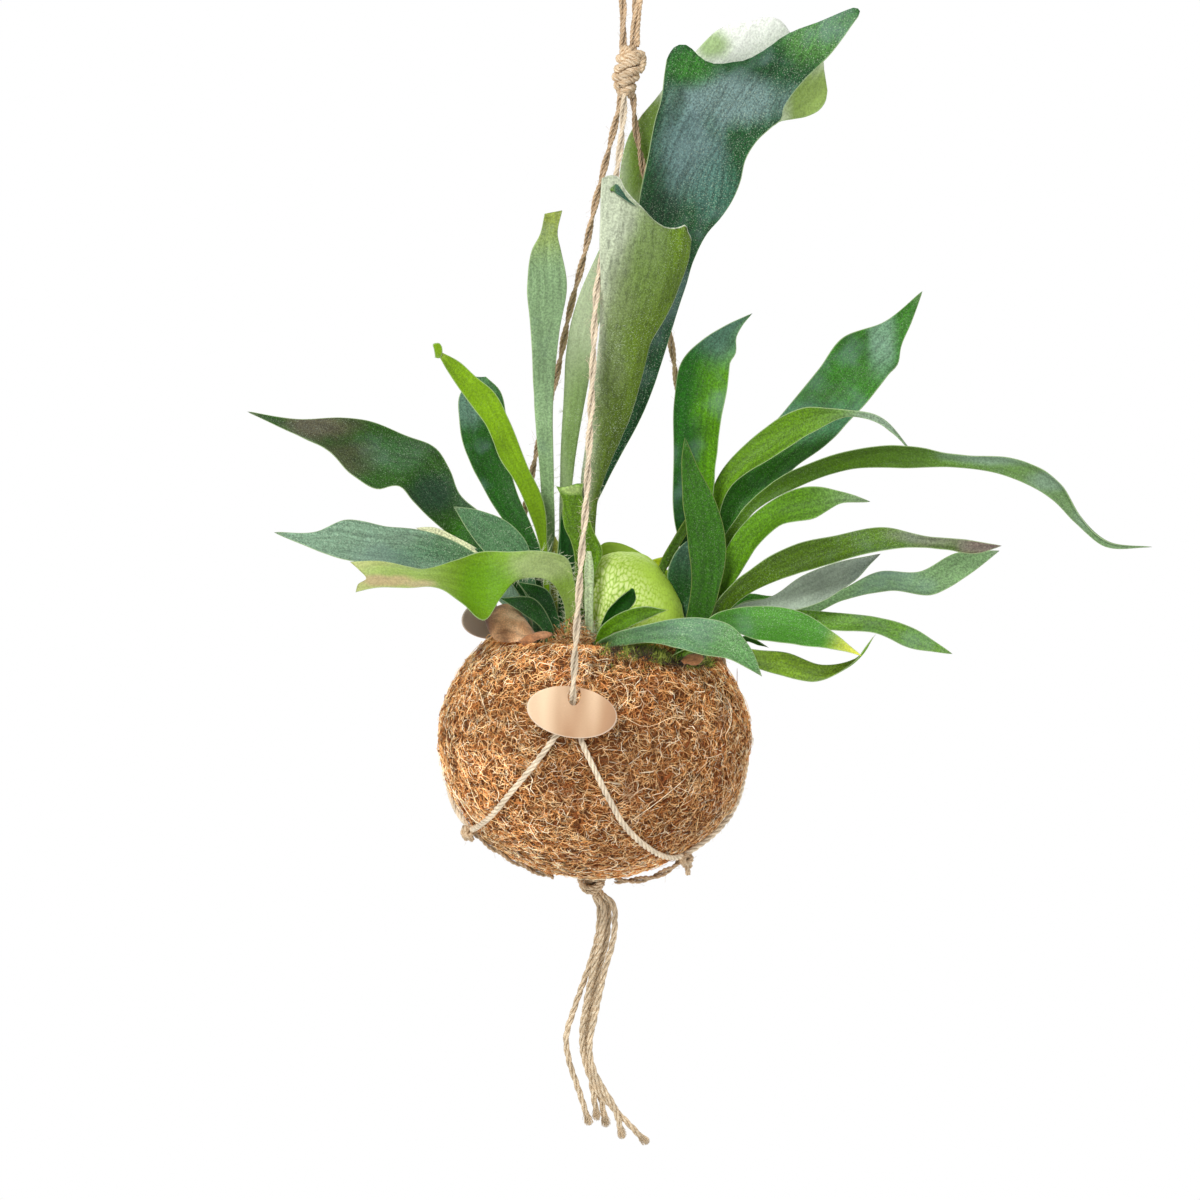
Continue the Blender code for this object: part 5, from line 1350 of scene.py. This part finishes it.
def make_moss():
    """A low dome that thins out to its edge, with tufts: short curved sprigs that lean outward."""
    rows, turns = 60, 160
    share = np.linspace(0.004, 1, rows)[:, None]
    turn = np.linspace(0, FULL_TURN, turns, endpoint=False)[None]
    x, y = MOSS_RADIUS * share * np.cos(turn), MOSS_RADIUS * share * np.sin(turn)
    top = np.stack([x, y, moss_height(x, y) - 1.5], -1)
    top[..., 2] += 1.3 * soft_noise(top, 5, 21) * (1 - share**4)
    under = np.stack([x, y, soil_height(x) + 0.5], -1)[::-1]
    finish = moss_finish()
    dome = np.concatenate([top, under])
    make_round("moss_cushion", dome, finish, "moss", "moss_top", tone=np.full(dome.shape[:2], 0.22))
    rng = np.random.default_rng(31)
    count = MOSS_SPRIGS
    spread = 64 * np.sqrt(rng.random(count))
    turn = rng.uniform(0, FULL_TURN, count)
    x, y = spread * np.cos(turn), spread * np.sin(turn)
    ground = np.where(spread < MOSS_RADIUS, moss_height(x, y) - 1.8, soil_height(x))
    foot = np.stack([x, y, ground], -1)
    lean = [rng.normal(0, 0.7, count), rng.normal(0, 0.7, count), rng.uniform(0.5, 1.2, count)]
    curl = rng.normal(0, 1.2, (count, 1, 3)) * (1, 1, 0.4)
    tall = rng.uniform(1.8, 5.2, (count, 1, 1))
    lines = sprigs(foot, unit(np.stack(lean, -1)), tall, curl)
    dead = soft_noise(foot * (1, 1, 0), 16, 41) - 0.02 * x + 0.25 * (spread > MOSS_RADIUS)
    brown, green = rng.normal(0.22, 0.1, count), rng.normal(0.66, 0.16, count)
    tone = np.where(dead > 0.15, brown, green).clip(0.02, 0.98)
    radii = rng.uniform(0.16, 0.32, (count, 1)) * SPRIG_TAPER
    make_strands("moss_sprigs", lines, radii, finish, "moss", tone)


def sprigs(foot, lean, tall, curl):
    """Lines that rise from their feet and bend over."""
    s = np.linspace(0, 1, 4)[:, None]
    return foot[:, None] + lean[:, None] * tall * s + curl * s**2


def make_edge_growth():
    """What rises at the front edge: a tangle of dead brown roots on the left, moss on the right."""
    rng = np.random.default_rng(61)
    count = DEAD_ROOTS
    ranges = ((-34, 6), (-52, -14), (47, 54))
    foot = np.stack([rng.uniform(low, high, count) for low, high in ranges], -1)
    heap = 19 * np.exp(-(((foot[:, 0] + 13) / 13) ** 2))
    foot[:, 2] += heap * rng.random(count) ** 0.7
    way = unit(rng.normal(0, 1, (count, 3)) * (1, 0.6, 0.8))
    s = np.linspace(-0.5, 0.5, 5)[:, None]
    length = rng.gamma(3, 2.0, (count, 1, 1)).clip(2.5, 13)
    curl = rng.normal(0, 0.7, (count, 1, 3))
    lines = foot[:, None] + length * (way[:, None] * s + curl * (s**2 - 0.1))
    tone = rng.normal(0.3, 0.24, count).clip(0.0, 0.9)
    radii = rng.uniform(0.12, 0.3, (count, 1)) * (0.5, 1, 1, 1, 0.4)
    make_strands("dead_roots", lines, radii, coir_finish("root", 0.5), "coir", tone)
    count = EDGE_SPRIGS
    x = rng.uniform(2, 62, count)
    reach = np.sqrt(np.maximum(0, 66**2 - x**2)) * rng.uniform(0.78, 1.0, count)
    rim = rim_height(np.arctan2(-reach, x)) + 0.5
    top = np.where(np.hypot(x, reach) > 62, rim, 47 - 0.02 * x)
    foot = np.stack([x, -reach, top + rng.uniform(-2, 2.4, count)], -1)
    lean = unit(rng.normal(0, 0.6, (count, 3)) + (0, -0.25, 0.75))
    tall = rng.uniform(1.6, 4.6, (count, 1, 1))
    lines = sprigs(foot, lean, tall, rng.normal(0, 1.0, (count, 1, 3)))
    dead = soft_noise(foot, 5, 47) + 0.5 * soft_noise(foot, 2.5, 48)
    brown, green = rng.normal(0.14, 0.1, count), rng.normal(0.64, 0.2, count)
    tone = np.where(dead > 0.05, brown, green).clip(0.02, 0.98)
    radii = rng.uniform(0.16, 0.3, (count, 1)) * SPRIG_TAPER
    make_strands("moss_edge", lines, radii, moss_finish(), "moss", tone)


def soil_finish():
    """Dark crumbly growing mix."""
    f = Finish("growing_mix")
    grain = f.noise(f.place("Object"), 420, 5, 0.7)
    colour = f.ramp(
        grain, (0.35, (26, 17, 10)), (0.55, (66, 44, 26)), (0.7, (104, 74, 44)),
    )
    return f.done(colour, 0.95, f.bump(grain, 0.002, 1.0))


def jute_finish(name, warm=1.0, cream=0.0, brown=0.0):
    """Twisted jute: fine fibre lines at a slant along each ply, pale straw, darkened in the grooves
    between plies as painted shade.
    """
    f = Finish(name)
    fibres = f.noise(f.place("UV", (9, 0.55, 1), (0, 0, 0.5)), 1, 3, 0.6)
    colour = f.ramp(
        fibres, (0.3, (168, 140, 108)), (0.46, (208, 184, 150)), (0.6, (230, 213, 184)),
        (0.76, (250, 243, 228)),
    )
    colour = f.blend(cream, colour, (240, 228, 206))
    colour = f.blend(brown, colour, (176, 128, 80))
    colour = f.cloud(colour, f.place("Object"), 120, 0.82 * warm, 1.12 * warm)
    # Painted shade in the grooves between the plies
    colour = f.shade(colour, f.value("groove_shade"), 0.0, 1.0, 1.04, 0.66)
    return f.done(colour, 0.85, f.bump(fibres, 0.0003, 0.7), Specular_IOR_Level=0.25)


def ply_lines(route, width, plies, ply_pitch, strands=1, strand_pitch=60, step=0.9):
    """The middle line of every ply: plies wind round their strand, and strands round the route."""
    fine = smooth_curve(route, 400)
    count = max(12, int(run_length(fine)[-1] / step))
    path = smooth_curve(fine[::2], count)
    s = run_length(path)[:, None]
    first, second = cross_frame(unit(np.gradient(path, axis=0)))
    away = 0.44 * width if strands > 1 else 0
    reach = width * PLY_REACH[plies]
    lines = []
    for j in range(strands):
        turn = FULL_TURN * (s / strand_pitch + j / strands)
        middle = path + away * (first * np.cos(turn) + second * np.sin(turn))
        for i in range(plies):
            wind = FULL_TURN * (s / ply_pitch + i / plies) + 1.7 * j
            lines.append(middle + reach * (first * np.cos(wind) + second * np.sin(wind)))
    return np.array(lines), path


def jute_mesh(lines, ply_radius, path, seed, hairs_per_mm=0.8, hair=2.2):
    """Plies as round tubes of slightly uneven thickness, and short hairs that stand off them. The
    pattern's map runs once round each ply and in millimetres along it."""
    lines = lines + 0.12 * np.stack([soft_noise(lines, 3.5, seed + k) for k in (7, 8, 9)], -1)
    uneven = 1 + 0.12 * soft_noise(lines, 3.0, seed)
    uneven[:, [0, -1]] *= 0.55
    points, faces = tubes(lines, ply_radius * uneven, PLY_SIDES)
    count, steps, _ = lines.shape
    run = run_length(path)
    around = np.arange(PLY_SIDES + 1) / PLY_SIDES
    u = np.stack([around[:-1], around[1:], around[1:], around[:-1]], -1)
    v = np.stack([run[:-1], run[:-1], run[1:], run[1:]], -1)[:, None]
    uv = np.stack(np.broadcast_arrays(u, v), -1)
    uv = np.broadcast_to(uv, (count, *uv.shape)).reshape(-1, 2)
    uv = np.concatenate([uv, np.zeros((faces[1].size, 2))])
    away = points.reshape(count, steps, PLY_SIDES, 3) - lines.mean(axis=0)[None, :, None]
    away = np.linalg.norm(away, axis=-1)
    # How deep each point lies in the grooves between the plies, for the painted shade there
    groove_shade = np.clip(1.25 - away / (away.max() * 0.78), 0, 1).ravel() * (count > 1)
    rng = np.random.default_rng(seed)
    number = int(run[-1] * hairs_per_mm)
    place = rng.integers(1, steps - 1, number)
    root = lines[rng.integers(0, count, number), place]
    tangent = unit(np.gradient(path, axis=0))[place]
    side_way = unit(np.cross(tangent, rng.normal(size=(number, 3))))
    length = rng.gamma(2.0, hair / 2, (number, 1, 1)).clip(0.6, 2.2 * hair)
    s = np.linspace(0, 1, 4)[:, None]
    way = side_way[:, None] * 0.6 * s
    way = way + tangent[:, None] * rng.choice([-1, 1], (number, 1, 1)) * s * 0.9
    bend = rng.normal(0, 0.35, (number, 1, 3)) * s**2
    hairs = plain_strands(root[:, None] + length * (way + bend), 0.055)
    return joined([dict(points=points, faces=faces, uv=uv, groove_shade=groove_shade), hairs])


def plain_strands(lines, radii):
    """Thin strands with no place on the pattern's map and no painted groove shade."""
    points, faces = tubes(lines, radii)
    corners = sum(f.size for f in faces)
    return dict(points=points, faces=faces, uv=np.zeros((corners, 2)), groove_shade=np.zeros(len(points)))


def on_ball(route, width):
    """A route given as directions and heights, laid on the ball."""
    fine = smooth_curve(route, 24)
    return ball_point(np.radians(fine[:, 0]), fine[:, 1], width / 2 + 0.6)


def outside_knots(points, knots):
    """The points that lie further than its reach from each knot's middle."""
    for centre, reach in knots:
        points = points[np.linalg.norm(points - np.array(centre), axis=1) > reach]
    return points


def knot_centres():
    """The middle of each knot round the ball and of the one under it."""
    out = RING_KNOT_RADIUS + 0.7
    found = {n: ball_point(math.radians(t), h, out) for n, (t, h) in RING_KNOTS.items()}
    found["bottom_knot"] = np.array(BOTTOM_KNOT)
    return found


def make_cord(name, route, finish, seed, lay, hairs_per_mm=1.4):
    """One cord of the hanger: round plies wound along its route."""
    lines, path = ply_lines(route, **lay)
    made = jute_mesh(lines, lay["width"] * PLY_RADIUS[lay["plies"]], path, seed, hairs_per_mm)
    make_piece("hanger_" + name, finish=finish, slot="jute", replaced=(name,), **made)


def make_hanger():
    """The loop with its second strand beside it, the legs, the strands on the ball and the cords
    under it. Cords end inside the knots."""
    finish = jute_finish("jute", brown=0.34)
    pale = jute_finish("jute_front", 1.05, 0.4)
    loop = np.array(LOOP_ROUTE, float)
    beside = np.clip((loop[:, :1] - 3) / 6, -0.4, 1) * (2.6, -1.2, 0) + (0.6, 1.2, 0)
    lines, path = ply_lines(loop, **LOOP_LAY)
    more_lines, more_path = ply_lines(loop + beside, **SECOND_LOOP_LAY)
    made = joined([jute_mesh(lines, 0.58, path, 1), jute_mesh(more_lines, 0.8, more_path, 2)])
    make_piece("hanger_loop", finish=finish, slot="jute", replaced=("hang_loop_cord",), **made)
    for number, (name, route) in enumerate(LEG_ROUTES.items()):
        hairs, paint = (9.0, pale) if name == "leg_front" else (2.2, finish)
        make_cord(name, route, paint, 5 + number, LEG_LAY, hairs)
    close = [(centre, 2.5) for centre in knot_centres().values()]
    for number, (name, route) in enumerate(STRAND_ROUTES.items()):
        line = outside_knots(on_ball(smooth_curve(route, 60), 3.4), close)
        make_cord(name, line, pale, 15 + number, NET_LAY)
    for number, (name, route) in enumerate(UNDER_ROUTES.items()):
        slack = np.sin(np.linspace(0, math.pi, 24)) * UNDER_SLACK[name]
        line = np.concatenate([on_ball(route, 4.4 + 2 * slack), [BOTTOM_KNOT]])
        make_cord(name, outside_knots(line, close), finish, 25 + number, UNDER_LAY)


def joined(parts):
    """Several cord surfaces as one."""
    start = np.cumsum([0] + [len(p["points"]) for p in parts])
    return dict(
        faces=[f + s for p, s in zip(parts, start) for f in p["faces"]],
        **{key: np.concatenate([p[key] for p in parts]) for key in ("points", "uv", "groove_shade")},
    )


def knot_parts(centre, lay, wraps, runs, seed, hair=1.5):
    """The strands that run through a knot and its wraps: open rings, uneven and tilted."""
    runs = [*runs]
    for number, (height, radius, tilt, heading) in enumerate(wraps):
        turn = np.linspace(0, 1.1 * FULL_TURN, 46)
        out = radius * (1 + 0.06 * np.sin(2 * turn + number))
        flat = np.stack([out * np.cos(turn), out * np.sin(turn), 0.4 * np.sin(3 * turn)], -1)
        lean = Matrix.Rotation(heading, 3, "Z") @ Matrix.Rotation(tilt, 3, "Y")
        runs.append(flat @ np.array(lean).T + (0, 0, height))
    parts = []
    for number, run in enumerate(runs):
        lines, path = ply_lines(np.array(run) + np.array(centre), **lay)
        ply_radius = lay["width"] * PLY_RADIUS[lay["plies"]]
        parts.append(jute_mesh(lines, ply_radius, path, seed + number, hair=hair))
    return joined(parts)


def make_knots():
    """The top knot, the knots round the ball and the one under it, with the loose ends' starts."""
    finish = jute_finish("jute_knot", 0.98, brown=0.2)
    made = knot_parts(TOP_KNOT, TOP_KNOT_LAY, TOP_WRAPS, TOP_RUNS, 60, hair=1.9)
    make_piece("hanger_top_knot", finish=finish, slot="jute", replaced=("top_knot",), **made)
    starts = [np.array(route[0]) - BOTTOM_KNOT for route in TASSEL_ROUTES.values()]
    for number, (name, centre) in enumerate(knot_centres().items()):
        end = np.array(KNOT_ENDS[name])
        wraps, runs = RING_WRAPS, [(0 * end, 0.5 * end, end)]
        if name == "bottom_knot":
            wraps = BOTTOM_WRAPS
            runs += [((0, 0, 1.5), 0.5 * p + (0, -0.4, 0.6), p, 1.25 * p) for p in starts]
            runs += BOTTOM_RUNS
        made = knot_parts(centre, SMALL_KNOT_LAY, wraps, runs, 70 + 10 * number)
        make_piece("hanger_" + name, finish=finish, slot="jute", replaced=(name,), **made)


def drawn_in(lines, path, reach):
    """The same lines with every point brought to at most the given distance from the path."""
    away = lines[..., None, :] - path[::4]
    nearest = np.linalg.norm(away, axis=-1).argmin(axis=-1)
    middle = path[::4][nearest]
    gap = np.linalg.norm(lines - middle, axis=-1, keepdims=True)
    return middle + (lines - middle) * np.minimum(1, reach / np.maximum(gap, 1e-6))


def make_tassel():
    """The five loose ends: plied cords whose last few millimetres come apart into fibres."""
    finish = jute_finish("jute_ends", 0.97)
    for number, (name, route) in enumerate(TASSEL_ROUTES.items()):
        path = outside_knots(smooth_curve(route, 400), [(BOTTOM_KNOT, BOTTOM_KNOT_REACH)])
        short = path[run_length(path) < run_length(path)[-1] - FRAYED_LENGTH]
        lines, line = ply_lines(short, END_WIDTH, 3, 19 + 1.5 * number)
        ply_radius = END_WIDTH * PLY_RADIUS[3]
        made = jute_mesh(lines, ply_radius, line, 100 + number, hairs_per_mm=2.2, hair=0.9)
        rng = np.random.default_rng(200 + number)
        each = (END_FIBRES, 1, 1)
        ahead = unit(path[-1] - path[-12])
        spread = unit(rng.normal(size=(END_FIBRES, 3))) * np.sqrt(rng.random((END_FIBRES, 1)))
        spread = spread[:, None]
        s = np.linspace(0, 1, 5)[:, None]
        flare = spread * (1.9 + rng.normal(0, 0.3, each)) * s**1.4
        ends = line[-4] + spread * 1.2 + ahead * rng.uniform(5.5, 9.0, each) * s + flare
        ends = ends + rng.normal(0, 0.35, (END_FIBRES, 1, 3)) * s**2
        fringe = plain_strands(drawn_in(ends, path, FRAYED_REACH), (0.2, 0.2, 0.18, 0.15, 0.1))
        made = joined([made, fringe])
        cord = make_piece(
            "loose_end_" + name[-1], finish=finish, slot="jute", replaced=(name,), **made,
        )


def tag_finish(name, front):
    """A plate with soft upright bands of painted shine, a painted reflection, and faint brushed
    lines: copper in front, grey behind."""
    f = Finish(name)
    # Painted reflection: upright bands of shine in the plate's colour
    painted_shine = f.noise(f.place("Object", (34, 34, 2), (0, 0.12, 0)), 1, 2)
    if front:
        tones = (0.32, (146, 106, 76)), (0.5, (184, 143, 107)), (0.66, (236, 206, 170))
    else:
        tones = (0.3, (150, 142, 136)), (0.7, (186, 178, 170))
    colour = f.cloud(f.ramp(painted_shine, *tones), f.place("Object", (1, 1, 12)), 900, 0.94, 1.04)
    colour = f.blend(f.times(f.value("rim"), 0.6), colour, (238, 220, 198))
    grain = f.noise(f.place("Object"), 700, 3)
    return f.done(colour, 0.5, f.bump(grain, 0.0001, 0.3), Metallic=0.1)


def make_tag(name, middle, turn, lean, swing, front):
    """An oval plate with an oval hole: rings of points from the hole to the rim on one face, round
    the rounded edge, and back to the hole on the other face."""
    around = np.linspace(0, FULL_TURN, TAG_STEPS, endpoint=False)
    ring = np.stack([np.cos(around), np.sin(around)], -1) / 2
    hole = ring * TAG_HOLE_SIZE + (0, TAG_HOLE_HEIGHT)
    rim = ring * TAG_SIZE
    share = np.array([0, 0.02, 0.06, 0.3, 0.9, 0.955, 0.985, 1])
    height = np.array([0.5, 0.6, 0.6, 0.6, 0.6, 0.6, 0.5, 0])
    share = np.concatenate([share, share[-2::-1]])[:, None]
    height = np.concatenate([height, -height[-2::-1]])[:, None, None]
    flat = hole * (1 - share[..., None]) + rim * share[..., None]
    points = np.concatenate([flat, np.broadcast_to(height, (*flat.shape[:2], 1))], -1)
    quads = grid_faces(len(share) + 1, TAG_STEPS) % (len(share) * TAG_STEPS)
    turns = (swing, "Z"), (90 - lean, "X"), (turn, "Z")
    placed = np.eye(3)
    for degrees, axis in turns:
        placed = np.array(Matrix.Rotation(math.radians(degrees), 3, axis)) @ placed
    points = points.reshape(-1, 3)
    faces = outward(points, [quads, np.zeros((0, 3), int)])
    edge = np.broadcast_to(np.where(share > 0.97, 1.0, 0.0), (len(share), TAG_STEPS))
    make_piece(
        name + "_plate", points @ placed.T + np.array(middle), faces,
        tag_finish(name + "_plate_face", front), "tag", replaced=(name,), rim=edge,
    )


def make_stage():
    """A pale floor far below the hanging plant."""
    floor = bpy.data.meshes.new("floor")
    corners = np.array([(-1, -1), (1, -1), (1, 1), (-1, 1)]) * FLOOR_HALF_SIZE
    floor.from_pydata([(*corner, FLOOR_LEVEL) for corner in corners], [], [(0, 1, 2, 3)])
    finish = Finish("floor_paint")
    from_middle = finish.node("ShaderNodeVectorMath", operation="LENGTH")
    finish.feed(from_middle.inputs[0], finish.place("Object"))
    glow = finish.fade(from_middle.outputs["Value"], *FLOOR_FADE)
    finish.feed(finish.shader.inputs["Emission Strength"], glow)
    floor.materials.append(finish.done((246, 246, 246), 0.9, Emission_Color=(1, 1, 1, 1)))
    stage = bpy.data.objects.new("floor", floor)
    bpy.context.scene.collection.objects.link(stage)


def make_light(name, place, size, power):
    """A square lamp aimed at the plant."""
    lamp = bpy.data.lights.new(name, "AREA")
    lamp.size, lamp.energy = size, power
    made = bpy.data.objects.new(name, lamp)
    made.location = place
    made.rotation_euler = (Vector(LIGHT_AIM) - Vector(place)).to_track_quat("-Z", "Y").to_euler()
    bpy.context.scene.collection.objects.link(made)


def light_stage():
    """A white surround and three lamps."""
    world = bpy.data.worlds.new("studio")
    bpy.context.scene.world = world
    world.use_nodes = True
    sky = world.node_tree.nodes["Background"]
    sky.inputs["Color"].default_value = (1, 1, 1, 1)
    # White where the camera sees it, and less bright as a light
    seen = world.node_tree.nodes.new("ShaderNodeLightPath").outputs["Is Camera Ray"]
    strength = world.node_tree.nodes.new("ShaderNodeMapRange")
    strength.inputs["To Min"].default_value = SKY_LIGHT
    world.node_tree.links.new(seen, strength.inputs["Value"])
    world.node_tree.links.new(strength.outputs["Result"], sky.inputs["Strength"])
    make_light("key", (-0.9, -1.6, 1.0), 0.7, 34)
    make_light("fill", (1.5, -1.3, 0.0), 1.2, 6)
    make_light("back", (0.5, 1.3, 0.9), 1.0, 10)
    bpy.context.scene.view_settings.view_transform = "Standard"


def place_camera():
    """Looks along +Y and a little down, then turned about its own line of sight."""
    lens = bpy.data.cameras.new("camera")
    lens.sensor_width = SENSOR_WIDTH
    lens.lens = SENSOR_WIDTH * CAMERA_DISTANCE / CAMERA_VIEW_WIDTH
    rise, level = math.sin(CAMERA_ELEVATION), math.cos(CAMERA_ELEVATION)
    ahead, across, upright = Vector((0, level, -rise)), Vector((1, 0, 0)), Vector((0, rise, level))
    x_axis = across * math.cos(CAMERA_ROLL) + upright * math.sin(CAMERA_ROLL)
    y_axis = upright * math.cos(CAMERA_ROLL) - across * math.sin(CAMERA_ROLL)
    camera = bpy.data.objects.new("camera", lens)
    facing = Matrix((x_axis, y_axis, -ahead)).transposed().to_4x4()
    place = Vector(CAMERA_TARGET) - ahead * CAMERA_DISTANCE
    camera.matrix_world = Matrix.Translation(place) @ facing
    bpy.context.scene.collection.objects.link(camera)
    bpy.context.scene.camera = camera


# The camera and the free cords come first
place_camera()
make_tassel()
make_stage()
light_stage()
make_hanger()
make_knots()
make_tag("tag_front", (-12.4, -88.6, 30.0), 0, 9.5, -6.5, True)
make_tag("tag_back", (-56.1, 56.5, 58), 210, 13, 0, False)
make_coir_body()
make_fibres()
make_rim_fibres()
make_strays()
make_moss()
make_edge_growth()
make_fronds()
make_small_leaves()
make_shields()
make_stem_hairs()
root_ball_finish = bpy.data.objects["root_ball"].data.materials
root_ball_finish.clear()
root_ball_finish.append(soil_finish())
